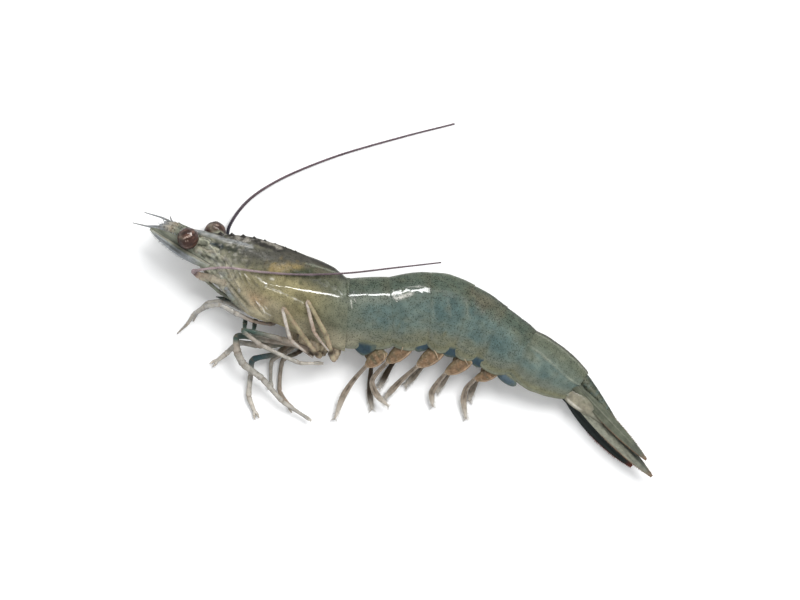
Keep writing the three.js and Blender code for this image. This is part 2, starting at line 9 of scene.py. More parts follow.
import bpy
import numpy as np
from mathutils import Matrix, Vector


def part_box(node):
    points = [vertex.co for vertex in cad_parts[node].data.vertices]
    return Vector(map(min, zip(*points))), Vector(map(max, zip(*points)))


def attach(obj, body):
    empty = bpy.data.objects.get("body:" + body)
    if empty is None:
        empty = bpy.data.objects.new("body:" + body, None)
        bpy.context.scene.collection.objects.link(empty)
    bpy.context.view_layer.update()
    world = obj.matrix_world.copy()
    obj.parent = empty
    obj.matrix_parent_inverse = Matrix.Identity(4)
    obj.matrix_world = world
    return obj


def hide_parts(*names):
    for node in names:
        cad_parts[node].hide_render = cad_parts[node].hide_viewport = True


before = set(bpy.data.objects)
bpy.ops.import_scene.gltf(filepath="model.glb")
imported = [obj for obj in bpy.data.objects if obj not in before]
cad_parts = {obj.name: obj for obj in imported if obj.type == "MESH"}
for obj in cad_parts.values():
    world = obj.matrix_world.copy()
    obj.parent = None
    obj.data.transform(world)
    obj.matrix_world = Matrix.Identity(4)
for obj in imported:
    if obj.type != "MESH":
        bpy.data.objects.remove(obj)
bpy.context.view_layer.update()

MM = 0.001
SIDES = ("left", "right")
UP = np.array([0.0, 0.0, 1.0])

# The camera looks straight down. The neck shows at this pixel of the picture, at this scale, and the axis of
# the head shell runs down to the right by this turn.
PICTURE = (800, 600)
NECK_PIXEL = (345.0, 314.0)
PIXELS_PER_MM = 3.715
PICTURE_TURN = math.radians(24.7)
CAMERA_HEIGHT = 1200.0
FOCUS_HEIGHT = 8.0
SENSOR = 36.0

# Head shell, with the sizes of its section as (distance forward of the neck, size)
CARAPACE_LENGTH = 47.3
CARAPACE_HEIGHT = 8.4
CARAPACE_ROLL = math.radians(20)
NECK_BEND = math.radians(20.7)
NECK_BEND_REACH = 10.0
CARAPACE_OVERLAP = 0.7
CARAPACE_BACK = [(0, 10.1), (8, 10.5), (15, 10.4), (22, 9.9), (29, 9.1), (34, 7.8), (38, 6.3), (47.3, 3.8)]
CARAPACE_HEM = [(0, 8), (15, 7.9), (22, 8.6), (26, 8.1), (29.5, 6.4), (32.5, 4.6), (37, 0.6), (40, -2.5),
                (47.3, -3.3)]
CARAPACE_LIP = [(0, 2), (24, 2), (32, 0), (47.3, 0)]
CARAPACE_HALF = [(0, 8.3), (8, 8.9), (15, 9.1), (22, 8.6), (28, 7.5), (33, 6.3), (37, 4.4), (40, 1.9),
                 (47.3, 0.3)]

# Teeth along the ridge of the head shell, the first and last by distance forward of the neck
TEETH = 8
TOOTH_FIRST = 18.0
TOOTH_LAST = 38.5
TOOTH_HEIGHT = 0.3
TOOTH_LENGTH = 3.4
TOOTH_WIDTH = 1.5
TOOTH_REACH = 1.1

# Abdomen: length, turn, crown and lobe of each ring, then sizes at the seven joints
RING_LENGTH = (12.2, 10.1, 9.2, 8.7, 9.8, 17.9)
LAST_RING = len(RING_LENGTH) - 1
RING_BEND = np.radians((7.9, -6.3, -15.5, -11.1, -2.8, -4.2))
RING_CROWN = (0.55, 0.3, 0.4, 0.25, 0.25, 1.2)
RING_LOBE = (1.2, 1.6, 1.6, 1.6, 1.4, 1.8)
RING_OVERLAP = 0.4
RIM_BACK = 0.28
RIM_FLANK = 0.04
WET_RINGS = 2
WET_RIM_BACK = 0.1
PLATE_THICKNESS = 0.3

# Notches between the side plates, where blue skin shows: place along the rings, depth and half width
PLATE_GAPS = [(0.45, 1.0, 0.24), (1.97, 0.4, 0.2), (3.0, 0.4, 0.2), (4.03, 0.4, 0.2), (4.98, 0.4, 0.2)]
SKIN_BULGE = (1.2, 0.7, 0.7, 0.7, 0.2)

# Blue windows of skin at the hem: place along the rings, middle as (x, y, height), half length, half depth,
# turn in degrees and taper. They all lean this much further up than the trunk.
WINDOWS = [
    (0.45, (8.5, -6.2, 12.2), 3.1, 2.8, -8, 0.5), (1.06, (16.0, -1.2, 12.1), 2.6, 1.4, 0, 0.0),
    (1.98, (22.9, 1.3, 12.2), 2.8, 1.8, 34, 0.0), (3.03, (30.2, 2.8, 12.0), 3.3, 2.1, 12, 0.2),
    (4.05, (37.9, 3.4, 11.2), 2.5, 2.0, 8, 0.2), (4.97, (46.6, 2.3, 9.6), 3.3, 1.55, -4, 0.0),
]
WINDOW_TILT = math.radians(22)
ABDOMEN_BACK = (9.7, 10.1, 11.2, 9.9, 8.1, 6.5, 4.8)
ABDOMEN_HEM = (7.6, 7.7, 8.1, 8.5, 8.4, 7.8, 4.6)
ABDOMEN_LIP = (2.2, 2.2, 2.2, 2.2, 1.9, 1.1, 0.2)
ABDOMEN_HALF = (8.2, 8.4, 8.3, 7.9, 7.2, 6.3, 3.9)
ABDOMEN_HEIGHT = (8.2, 7.9, 7.8, 7.5, 6.9, 6, 4.2)
ABDOMEN_ROLL = np.radians((18.5, 16.5, 14.2, 11.5, 9.4, 7, 5))

# Outline of a trunk section. Girth runs from 0 on the back through 1 at the hem to 2 in the middle of the
# belly, and one unit of it is about this long.
GIRTH_LENGTH = 24.0
HEM_DRAW_IN = 0.22
HEM_THICKNESS = 0.16
HEM_ROUND = 0.35
RIDGE = 1.18
WAIST_GIRTH = 0.6
FOLD_GIRTH = 1.2
INNER_GIRTH = 1.5
LEFT_GIRTH = np.concatenate([
    np.linspace(0, 0.3, 34, endpoint=False),
    np.linspace(0.3, WAIST_GIRTH, 76, endpoint=False),
    np.linspace(WAIST_GIRTH, 1, 52, endpoint=False),
    np.linspace(1, FOLD_GIRTH, 7, endpoint=False),
    np.linspace(FOLD_GIRTH, INNER_GIRTH, 5, endpoint=False),
    np.linspace(INNER_GIRTH, 2, 8),
])
GIRTH = np.concatenate([LEFT_GIRTH, LEFT_GIRTH[-2:0:-1]])
GIRTH_SIDE = np.concatenate([np.ones(len(LEFT_GIRTH)), -np.ones(len(LEFT_GIRTH) - 2)])
REST_HEIGHT = 0.03

# Legs of each side as (x, y, height, radius) from the hip to the tip
LEGS = {
    "left": [
        [(-11, -7.6, 9.2, 1.1), (-9.8, -11.6, 6.2, 1.1), (-13, -15, 6.2, 1), (-17.8, -17.4, 6.2, 1),
         (-22.9, -19.1, 5.4, 0.8), (-24.8, -23.3, 2.8, 0.8), (-26.4, -26.3, 1.3, 0.6)],
        [(-8, -7.6, 9.4, 1.1), (-6.6, -12, 8.6, 1), (-15.4, -14.8, 8.8, 1), (-24, -17.6, 8.8, 0.9),
         (-22.1, -21.4, 8, 1.2), (-19.3, -23.7, 7, 1.1), (-13, -25.2, 5, 0.9), (-5.5, -28.6, 3, 0.7),
         (2, -29.8, 2, 0.5)],
        [(-5, -7.8, 9.2, 1), (-3.8, -12.4, 10.6, 0.9), (-12.7, -13.2, 11.8, 0.85), (-23.2, -15.4, 12, 0.7),
         (-17, -16.9, 13, 0.7), (-5.6, -17, 11.2, 0.6), (-1.4, -15.2, 10.2, 0.4)],
        [(-2, -7.8, 9, 1), (-1.4, -11.6, 9.2, 1), (-1.6, -13.2, 11.4, 0.9), (-7.4, -10.2, 14.8, 0.8),
         (-15.6, -5.4, 17.4, 0.7), (-10.3, -12.2, 14.8, 0.6), (-2.9, -14.2, 13.2, 0.3)],
        [(1, -7.8, 9, 1), (2, -11.4, 9.6, 1), (2.4, -12.4, 12, 0.9), (-2.4, -7, 16.6, 0.8),
         (-10.5, -1, 18.8, 0.7), (-5.3, -7.8, 16.6, 0.6), (0.3, -10.8, 14.8, 0.3)],
    ],
    "right": [
        [(-11, -5.4, 3, 1.1), (-9.4, -9.5, 3.6, 1), (-11.8, -17, 3.9, 0.9), (-17.6, -21.7, 3.4, 0.9),
         (-16.4, -25.6, 2.4, 0.8), (-14.4, -31.2, 1.5, 0.8), (-11, -34.6, 0.8, 0.6)],
        [(-8, -5.2, 2.8, 1.1), (-6.8, -9.5, 2.3, 0.9), (-10.2, -16, 2.3, 0.7), (-12.8, -19.8, 1.9, 0.65),
         (-10.5, -25.6, 0.9, 0.5)],
        [(-5, -5.2, 2.8, 1.1), (-4.3, -9.5, 1.6, 0.9), (-7.4, -15, 1, 0.7), (-10.2, -18.5, 0.9, 0.65),
         (-7.4, -26.5, 0.9, 0.65), (-3.2, -29, 0.7, 0.5)],
        [(-2, -5.2, 2.8, 1), (-1.2, -8.6, 1.3, 0.9), (2.2, -8.6, 0.9, 0.6), (6.4, -6, 0.7, 0.3)],
        [(1, -5, 2.6, 0.9), (2.2, -6.8, 2.9, 0.8), (4.6, -5.8, 2.6, 0.6), (7, -4.6, 2.2, 0.3)],
    ],
}
PINCER_LEGS = 3
FINGER_LENGTH = 2.6
FINGER_RADIUS = 0.36
FINGER_SPREAD = math.radians(18.5)

# Feeding limbs beside the mouth, given like the legs
MAXILLIPEDS = {
    "left": [(-15, -7.8, 9.4, 1.2), (-16.6, -10.6, 9.2, 1.2), (-21.3, -12, 9.6, 1.1), (-27.1, -12.1, 9.8, 1),
             (-31.6, -11.8, 9.6, 0.9), (-35, -14, 7.6, 1), (-37, -17.2, 5, 0.9), (-37.7, -20.4, 2.8, 0.6),
             (-39.1, -23.8, 0.9, 0.25)],
    "right": [(-15, -5.4, 3.2, 1.1), (-16.8, -8.8, 4, 1.1), (-21, -10, 6, 1), (-26.2, -10.4, 6.9, 0.9),
              (-31.4, -10.6, 6.8, 0.8), (-35, -12.8, 4.6, 0.8), (-36.4, -16, 2.2, 0.6),
              (-36.6, -19, 0.7, 0.25)],
}

# Swimming limbs: feet of the near ones as hip, knee and half width, then pale rims at their hips
NEAR_FEET = [
    ((13.6, -4.4, 11.0), (11.0, -10.3, 9.6), 2.0),
    ((19.2, 0.7, 11.0), (15.7, -7.0, 9.6), 2.15),
    ((27.5, 3.2, 10.9), (23.6, -4.5, 9.6), 2.2),
    ((35.5, 3.8, 10.4), (31.3, -3.1, 8.9), 2.05),
    ((43.4, 3.5, 9.4), (39.1, -1.3, 7.9), 1.65),
]
HIP_RIMS = [
    ((13.8, -4.9, 12.2), (14.6, -7.2, 11.4)),
    ((17.0, 0.0, 13.0), (18.0, -2.8, 12.0)),
    ((25.4, 1.5, 12.4), (27.7, -0.4, 11.4)),
    ((32.7, 3.4, 12.0), (35.9, 1.2, 10.8)),
    ((40.7, 3.7, 11.0), (43.5, 2.3, 9.6)),
]

# The far feet leave the belly at this part of the ring, this far below its lip and right of its middle.
FAR_HIP_PLACE = 0.46
FAR_HIP_DROP = 1.45
FAR_HIP_ASIDE = 2.7
FAR_FOOT_HALF = 1.7
FAR_KNEES = [(12, -9, 2.4), (17.6, -5, 2.4), (25.4, -2.2, 2.4), (32.6, -0.8, 2.4), (40.2, 0.8, 2)]

# Points of their blades, below the knee
SWIM_BLADES = {
    "left": [
        [(9.4, -15.8, 5.6), (8.8, -20.5, 3.4), (9.3, -27.2, 1.1)],
        [(14.2, -13.4, 5.8), (16.8, -16.2, 4.6), (21.2, -17.8, 3.6)],
        [(21.2, -10, 4.8), (20, -13.6, 3), (19.2, -16.4, 1.6)],
        [(30.4, -6.6, 4.8), (30.2, -9.6, 3), (32, -13, 1.3)],
        [(38.1, -4.6, 4.2), (38.8, -7.8, 2.4), (41.6, -12.2, 1.1)],
    ],
    "right": [
        [(13.4, -13, 1.5), (15.2, -17, 1), (17.4, -20.6, 0.8)],
        [(17, -8.4, 1.6), (16.8, -11.4, 1.1), (16.6, -14.4, 0.8)],
        [(24.6, -5, 1.6), (23.8, -8, 1.1), (22.8, -11, 0.8)],
        [(32, -3.6, 1.6), (31.6, -6.2, 1.1), (31.2, -9, 0.8)],
        [(39.8, -2, 1.4), (39.8, -4.6, 1), (40.2, -7.4, 0.7)],
    ],
}

EYE_RADIUS = 2.75
STALK_RADIUS = 1.2
EYES = {
    "left": {"centre": (-46.5, 0.9, 15.4), "root": (-41.2, 1.9, 12)},
    "right": {"centre": (-41.2, 5.4, 3.5), "root": (-39.4, 3.6, 6.2)},
}

# Feelers as (x, y, height, radius) from root to tip, and the length of one ring of the long ones
ANTENNAE = {
    "left": [(-37, -6.6, 10.2, 1.6), (-39.8, -6.9, 10.6, 1.5), (-41.6, -6.6, 12, 0.7),
             (-40.4, -5.6, 14.2, 0.45), (-34.5, -2.2, 16, 0.4), (-25, 0.9, 17.8, 0.36), (-16, 4.3, 18, 0.34),
             (-4.6, 9.9, 15.4, 0.32), (7.5, 17.2, 10.4, 0.3), (17.7, 23.4, 7, 0.25)],
    "right": [(-36.6, -4.8, 2.6, 1.5), (-39.4, -4.7, 2.2, 1.4), (-41, -2.6, 1.4, 0.8), (-39.2, 0.4, 1, 0.6),
              (-37.6, 4, 1.4, 0.55), (-38.4, 8.6, 2, 0.55), (-37, 16.1, 1.5, 0.5), (-32.4, 24.2, 1, 0.42),
              (-21.4, 36.5, 0.7, 0.36), (-6.6, 49.5, 0.55, 0.32), (5.4, 59.2, 0.4, 0.28)],
}
ANNULUS = 0.55
ANTENNULES = {
    "left": {
        "foot": [(-40.4, 0.4, 8.8, 1), (-46, 1.4, 9, 1), (-52, 1.2, 9.4, 0.8)],
        "whips": [
            [(-51.6, 1.2, 9.4, 0.5), (-55, 0, 10, 0.45), (-62.1, -1.6, 10.6, 0.2)],
            [(-51.6, 1.2, 9.4, 0.5), (-55, 0.6, 9, 0.4), (-58.8, -0.9, 8.6, 0.2)],
        ],
    },
    "right": {
        "foot": [(-41.6, 1.2, 6.6, 1), (-46, 2.2, 6.6, 1), (-51.4, 2.4, 6.6, 0.8)],
        "whips": [
            [(-51, 2.4, 6.4, 0.5), (-54.4, 3, 6.6, 0.4), (-60.6, 2.3, 7, 0.2)],
            [(-51, 2.4, 6.4, 0.5), (-52.6, 3, 6, 0.4), (-53.9, 4.2, 5.6, 0.2)],
        ],
    },
}

# Flat blades: middle of the base, length, width, heading, slope along and tilt across, in degrees
SCALES = {
    "left": {"at": (-38.4, -3.2, 12), "length": 18.7, "width": 5.4, "turns": (173, 4, 33)},
    "right": {"at": (-38.6, -1.2, 4.2), "length": 16.8, "width": 5.4, "turns": (176, -3, -33)},
}
FAN_BEND = math.radians(-9.7)
UROPODS = {
    "exopod_left": {"at": (0.8, -2.3, 2.4), "length": 30.5, "width": 4.7, "turns": (0, -3, -28)},
    "endopod_left": {"at": (0.3, 0, 2.7), "length": 26.6, "width": 4.0, "turns": (-0.5, -1, -32)},
    "exopod_right": {"at": (1, -3.6, -2.6), "length": 24.7, "width": 5.4, "turns": (-1.5, 0, 18)},
    "endopod_right": {"at": (0.3, -0.6, -2.2), "length": 23.6, "width": 4.2, "turns": (-0.5, 0, 50)},
}
TELSON = {"at": (0.3, 2.4, 0), "length": 14.4, "width": 3.0, "depth": 3.4, "turns": (-5, -2, 0)}

# Half width and half thickness at the base of a blade, and its thickness beyond
BLADE_BASE = (1.5, 0.75)
BLADE_THICKNESS = 0.9

# The neck's place in the frame follows from the ball of the left eye.
eye_low, eye_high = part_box("eye_left")
NECK = np.array([
    eye_low.x / MM - (EYES["left"]["centre"][0] - EYE_RADIUS),
    eye_high.y / MM - (EYES["left"]["centre"][1] + EYE_RADIUS),
    0.0,
])


# The stage is lit so brightly that the floor turns white, so the paint is darker than it looks.
PAINT_SHARE = 0.85


def rgb(code):
    """Paint for a #rrggbb colour as it looks on the stage."""
    srgb = np.array([int(code[i:i + 2], 16) for i in (1, 3, 5)]) / 255
    return PAINT_SHARE * np.where(srgb <= 0.04045, srgb / 12.92, ((srgb + 0.055) / 1.055) ** 2.4)


# Colours of the wet animal
OLIVE = rgb("#928a67")
OLIVE_DARK = rgb("#555240")
HEAD_GREY = rgb("#565349")
HEAD_MAUVE = rgb("#484742")
HEAD_LOW = rgb("#ada48b")
HEAD_REAR = rgb("#676a59")
HEAD_FRONT = rgb("#a5a592")
HEAD_ORANGE = rgb("#a1896a")
YELLOW = rgb("#927f52")
GREEN_DARK = rgb("#3a402c")
# Painted shade for the slot under the rostrum, and the dark tips of small mouth parts
DARK_TIPS_AND_SLOT_SHADE = rgb("#2a343b")
ROSTRUM_PALE = rgb("#95989a")
RIDGE_DARK = rgb("#2c2a28")
TOOTH_PALE = rgb("#9a958b")
PINK = rgb("#a78a78")
# Colours for painted highlights and painted glints
PAINTED_HIGHLIGHT = rgb("#f4f1e8")
PAINTED_EYE_GLINT = rgb("#cdb6a8")
LIMB_OLIVE = rgb("#948b70")
HEAD_SKIRT = rgb("#a69f87")
BELLY_HAZE = rgb("#5c655a")
SHELL_UP = rgb("#4b564b")
SHELL_MID = rgb("#65736c")
SHELL_BLUE = rgb("#596b68")
SHELL_TEAL = rgb("#5f6d67")
SHELL_LOW = rgb("#6f7265")
SHELL_OLIVE = rgb("#74735b")
SHELL_BROWN = rgb("#635c4c")
SHELL_PALE = rgb("#8b8f80")
BELLY_BLUE = rgb("#384852")
BELLY_SHADE = rgb("#6c685c")
MEMBRANE = rgb("#857660")
COXA = rgb("#b0a48c")
LIMB_PALE = rgb("#aca8a0")
LIMB_BEIGE = rgb("#9a9186")
LIMB_WHITE = rgb("#cac3b8")
LIMB_GREEN = rgb("#43544d")
LIMB_BLUE = rgb("#3f5458")
LIMB_PINK = rgb("#a08f80")
LIMB_BROWN = rgb("#77695a")
# Mottling of the limbs, and painted shade along their sides and undersides
LIMB_MOTTLE_AND_EDGE_SHADE = rgb("#6b6a60")
SWIM_BROWN = rgb("#806850")
SWIM_OLIVE = rgb("#5f5a45")
SWIM_EDGE = rgb("#c4ab90")
SWIM_BLADE = rgb("#94887a")
SWIM_DARK = rgb("#40362c")
SCALE_PALE = rgb("#85898c")
SCALE_GREEN = rgb("#7b7e70")
SCALE_DARK = rgb("#34372f")
SCALE_TAN = rgb("#a39a88")
WHIP_MAUVE = rgb("#66565b")
WHIP_BLUE = rgb("#30323c")
WHIP_PINK = rgb("#a08f90")
EYE_BROWN = rgb("#38251f")
EYE_RED = rgb("#5c4238")
FAN_GREEN = rgb("#575b4d")
FAN_OLIVE = rgb("#55584a")
FAN_PALE = rgb("#848577")
FAN_DARK = rgb("#222a28")
FAN_GREY = rgb("#575a52")
FAN_RED = rgb("#743626")
FAN_TAN = rgb("#77604d")
FAN_FOOT_TAN = rgb("#8c8776")
# Painted highlight on the foot of the tail fan
FAN_PAINTED_HIGHLIGHT = rgb("#dcd8ca")
RIDGE_RED = rgb("#3b241c")
SHELL_DEEP = rgb("#3f5454")
HEAD_DUSK = rgb("#67685b")
SWIM_FAR = rgb("#8d8376")
SKIN_PALE = rgb("#71818a")
SPECK = rgb("#21261f")


def smooth(x, start, end):
    """0 before the start and 1 beyond the end, with a soft change between."""
    t = np.clip((np.asarray(x, float) - start) / (end - start), 0, 1)
    return t * t * (3 - 2 * t)


def within(x, start, full, fade, end):
    """1 from full to fade, with a soft change to 0 at the start and the end."""
    return smooth(x, start, full) * smooth(x, end, fade)


def hump(x, middle, width):
    """A soft bump of height 1."""
    return np.exp(-(((x - middle) / width) ** 2))


def through(pairs):
    """A smooth function through (place, size) pairs in rising order of place."""
    places, sizes = np.array(pairs, float).T
    before = np.maximum(np.arange(len(places)) - 1, 0)
    after = np.minimum(np.arange(len(places)) + 1, len(places) - 1)
    slopes = (sizes[after] - sizes[before]) / (places[after] - places[before])

    def size_at(place):
        place = np.asarray(place, float)
        i = np.clip(np.searchsorted(places, place), 1, len(places) - 1)
        span = places[i] - places[i - 1]
        t = (place - places[i - 1]) / span
        rise = (1 - t) ** 2 * t * span * slopes[i - 1] - t ** 2 * (1 - t) * span * slopes[i]
        mix = t * t * (3 - 2 * t)
        return sizes[i - 1] * (1 - mix) + sizes[i] * mix + rise

    return size_at


def along_joints(sizes):
    """A smooth function through sizes at joints 0, 1, 2 and so on."""
    return through(list(enumerate(sizes)))


def round_angles(sides):
    """Angles all the way round in even steps."""
    return np.linspace(0, 2 * math.pi, sides, endpoint=False)


def unit(vectors):
    """Vectors of length one in the same directions."""
    return vectors / (np.linalg.norm(vectors, axis=-1, keepdims=True) + 1e-9)


def plane_turn(angle, first, second):
    """Matrix of a turn in the plane of two axes, from the first towards the second."""
    matrix = np.eye(3)
    matrix[first, first] = matrix[second, second] = math.cos(angle)
    matrix[second, first] = math.sin(angle)
    matrix[first, second] = -math.sin(angle)
    return matrix


def ripple(points, size, seed):
    """Smooth noise of about unit height over points, with features of about the given size."""
    rng = np.random.default_rng(seed)
    total = np.zeros(points.shape[:-1])
    waves = 7
    for _ in range(waves):
        direction = rng.normal(size=3)
        direction *= 2 * math.pi / (size * rng.uniform(0.6, 1.6) * np.linalg.norm(direction))
        total += np.sin(points @ direction + rng.uniform(0, 2 * math.pi))
    return total / math.sqrt(waves / 2)


def painted(base, *layers, specks=0.0, film=0.1):
    """A colour laid over with (mask, colour) layers in turn, and the strength of its specks and film."""
    shape = np.broadcast_shapes(*[np.shape(mask) for mask, _ in layers], np.shape(specks), np.shape(film))
    colour = np.broadcast_to(base, (*shape, 3)).copy()
    for mask, other in layers:
        share = np.broadcast_to(np.clip(mask, 0, 1), shape)[..., None]
        colour += share * (other - colour)
    extra = [np.broadcast_to(value, shape)[..., None] for value in (specks, film)]
    return np.concatenate([colour, *extra], axis=-1)


def spot(x, y, at, reach):
    """A soft round mask about a place, by its reach in both directions."""
    return np.exp(-((x - at[0]) / reach[0]) ** 2 - ((y - at[1]) / reach[1]) ** 2)


class Surface:
    """Points, faces and painted colours gathered for one piece."""

    def __init__(self):
        self.points = []
        self.faces = []
        self.paint = []
        self.count = 0

    def add(self, points, faces, paint):
        self.points.append(points)
        self.faces += [[self.count + i for i in face] for face in faces]
        self.paint.append(np.broadcast_to(paint, (len(points), 5)))
        self.count += len(points)

    def loft(self, rows, paint):
        """A closed skin over rings of points, with both ends capped and its faces pointing out."""
        rings, around = rows.shape[:2]
        paint = np.broadcast_to(paint, (rings, around, 5)).reshape(-1, 5)
        ends = rows[[0, -1]].mean(axis=1)
        points = np.concatenate([rows.reshape(-1, 3), ends])
        i, j = np.meshgrid(np.arange(rings - 1), np.arange(around), indexing="ij")
        here = (i * around + j).ravel()
        beside = (i * around + (j + 1) % around).ravel()
        quads = np.stack([here, beside, beside + around, here + around], axis=1)
        turn = np.arange(around)
        last = (rings - 1) * around
        first_cap = np.stack([np.full(around, rings * around), (turn + 1) % around, turn], axis=1)
        last_cap = last + np.stack([np.full(around, around + 1), turn, (turn + 1) % around], axis=1)
        corners = points[np.concatenate([quads[:, :3], quads[:, [0, 2, 3]], first_cap, last_cap])]
        volume = np.einsum("ij,ij->", corners[:, 0], np.cross(corners[:, 1], corners[:, 2]))
        step = 1 if volume > 0 else -1
        faces = [face[::step] for part in (quads, first_cap, last_cap) for face in part.tolist()]
        end_paint = paint.reshape(rings, around, 5)[[0, -1]].mean(axis=1)
        self.add(points, faces, np.concatenate([paint, end_paint]))

    def hairs(self, roots, tips, radius, paint):
        """Thin three-sided bristles from roots to tips."""
        side = unit(np.cross(tips - roots, UP))
        other = unit(np.cross(tips - roots, side))
        corners = [roots + radius * (math.cos(a) * side + math.sin(a) * other) for a in round_angles(3)]
        points = np.stack([*corners, tips], axis=1).reshape(-1, 3)
        faces = []
        for k in range(0, len(points), 4):
            faces += [[k, k + 1, k + 3], [k + 1, k + 2, k + 3], [k + 2, k, k + 3], [k + 2, k + 1, k]]
        self.add(points, faces, paint)


def piece(name, surface, material, slot, *nodes):
    """Makes the gathered surface an object that rides on the body in place of the given nodes."""
    points = (np.concatenate(surface.points) + NECK) * MM
    mesh = bpy.data.meshes.new(name)
    mesh.from_pydata(points.tolist(), [], surface.faces)
    mesh.polygons.foreach_set("use_smooth", np.ones(len(mesh.polygons), bool))
    paint = np.concatenate(surface.paint).astype(np.float32)
    tint = mesh.color_attributes.new("tint", "FLOAT_COLOR", "POINT")
    tint.data.foreach_set("color", paint[:, :4].ravel())
    film = mesh.attributes.new("film", "FLOAT", "POINT")
    film.data.foreach_set("value", paint[:, 4].copy())
    mesh.materials.append(material)
    made = bpy.data.objects.new(name, mesh)
    bpy.context.scene.collection.objects.link(made)
    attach(made, "root")
    if nodes:
        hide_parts(*nodes)


# Materials


def feed(tree, node, inputs):
    """Gives a node's inputs their values, or joins them to the outputs that feed them."""
    for name, value in inputs.items():
        if isinstance(value, bpy.types.NodeSocket):
            tree.links.new(value, node.inputs[name])
        else:
            node.inputs[name].default_value = value


def add_node(tree, kind, inputs=None, **settings):
    """A new node with its settings and inputs."""
    node = tree.nodes.new(kind)
    for name, value in settings.items():
        setattr(node, name, value)
    feed(tree, node, inputs or {})
    return node


def add_maths(tree, operation, first, second):
    return add_node(tree, "ShaderNodeMath", {0: first, 1: second}, operation=operation).outputs[0]


def map_range(tree, value, low, high, start=0.0, end=1.0):
    """A value between start and end, spread over low to high."""
    inputs = {"Value": value, "From Min": start, "From Max": end, "To Min": low, "To Max": high}
    return add_node(tree, "ShaderNodeMapRange", inputs).outputs[0]


def noise(tree, place, size, detail):
    """Cloudy noise with features of a size in millimetres."""
    inputs = {"Scale": 1 / (size * MM), "Detail": detail, "Vector": place}
    return add_node(tree, "ShaderNodeTexNoise", inputs).outputs["Fac"]


def wet_material(name, roughness, subsurface, grain, speck_size, mottle):
    """Wet shell: painted colour with specks and mottling, fine grain, and a film of water."""
    material = bpy.data.materials.new(name)
    material.use_nodes = True
    tree = material.node_tree
    tint = add_node(tree, "ShaderNodeVertexColor", layer_name="tint")
    film = add_node(tree, "ShaderNodeAttribute", attribute_name="film")
    place = add_node(tree, "ShaderNodeTexCoord").outputs["Object"]

    cells = add_node(tree, "ShaderNodeTexVoronoi", {"Scale": 1 / (speck_size * MM), "Vector": place})
    pick = add_node(tree, "ShaderNodeSeparateColor", {0: cells.outputs["Color"]})
    size = map_range(tree, pick.outputs[0], 0.16, 0.6)
    inside = add_maths(tree, "SUBTRACT", size, cells.outputs["Distance"])
    dot = map_range(tree, inside, 0.0, 1.0, 0.0, 0.16)
    strength = add_maths(tree, "MULTIPLY", dot, tint.outputs["Alpha"])

    blotches = map_range(tree, noise(tree, place, 1.7, 5), 1 - mottle, 1 + mottle, 0.3, 0.7)
    mottled = add_node(tree, "ShaderNodeMix", {"Factor": 1, "A": tint.outputs["Color"], "B": blotches},
                       data_type="RGBA", blend_type="MULTIPLY").outputs["Result"]
    specked = add_node(tree, "ShaderNodeMix", {"Factor": strength, "A": mottled, "B": (*SPECK, 1)},
                       data_type="RGBA").outputs["Result"]

    fine = noise(tree, place, 0.4, 3)
    relief = add_node(tree, "ShaderNodeBump", {"Strength": grain, "Distance": 0.1 * MM, "Height": fine})
    feed(tree, tree.nodes["Principled BSDF"], {
        "Base Color": specked,
        "Roughness": map_range(tree, fine, roughness - 0.1, roughness + 0.1),
        "Normal": relief.outputs[0],
        "Coat Weight": film.outputs["Fac"],
        "Coat Roughness": 0.07,
        "Specular IOR Level": 0.04,
        "Subsurface Weight": subsurface,
        "Subsurface Radius": (1.0, 0.8, 0.6),
        "Subsurface Scale": 0.9 * MM,
    })
    return material


SHELL = wet_material("wet_shell", roughness=0.45, subsurface=0.06, grain=0.3, speck_size=0.34, mottle=0.18)
LIMB = wet_material("wet_limb", roughness=0.4, subsurface=0.2, grain=0.3, speck_size=0.6, mottle=0.2)
FAN = wet_material("wet_fan", roughness=0.42, subsurface=0.06, grain=0.4, speck_size=0.6, mottle=0.22)
WHIP = wet_material("wet_whip", roughness=0.45, subsurface=0.06, grain=0.3, speck_size=0.6, mottle=0.2)
EYE = wet_material("wet_eye", roughness=0.4, subsurface=0.0, grain=0.2, speck_size=0.4, mottle=0.3)


# Trunk


def trunk_outline(back, hem, lip, half):
    """Section of the trunk at each place: distances towards the back and towards the left, by girth."""
    back, hem, lip, half = (np.asarray(size, float)[:, None] for size in (back, hem, lip, half))
    waist = (back - hem) / 2
    edge = half * (1 - HEM_DRAW_IN)
    bead = np.minimum(HEM_ROUND, edge / 3)
    inner = half * (1 - HEM_DRAW_IN - HEM_THICKNESS) * 0.9
    angle = np.clip(GIRTH / WAIST_GIRTH, 0, 1) * math.pi / 2
    down = np.clip((GIRTH - WAIST_GIRTH) / (1 - WAIST_GIRTH), 0, 1)
    fold = np.clip((GIRTH - 1) / (FOLD_GIRTH - 1), 0, 1) * math.pi
    rise = np.clip((GIRTH - FOLD_GIRTH) / (INNER_GIRTH - FOLD_GIRTH), 0, 1)
    across = np.clip((GIRTH - INNER_GIRTH) / (2 - INNER_GIRTH), 0, 1)
    zones = [GIRTH <= WAIST_GIRTH, GIRTH <= 1, GIRTH <= FOLD_GIRTH, GIRTH <= INNER_GIRTH, GIRTH <= 2]
    high = np.select(zones, [
        waist + (back - waist) * np.cos(angle),
        waist + (-hem - waist) * down,
        -hem - bead * np.sin(fold),
        -hem + lip * rise,
        -hem + lip * (1 - 0.2 * across),
    ])
    wide = np.select(zones, [
        half * np.sin(angle) ** RIDGE,
        half * (1 - HEM_DRAW_IN * down ** 2),
        edge - bead * (1 - np.cos(fold)),
        (edge - 2 * bead) * (1 - rise) + inner * rise,
        inner * (1 - across),
    ])
    return high, wide * GIRTH_SIDE


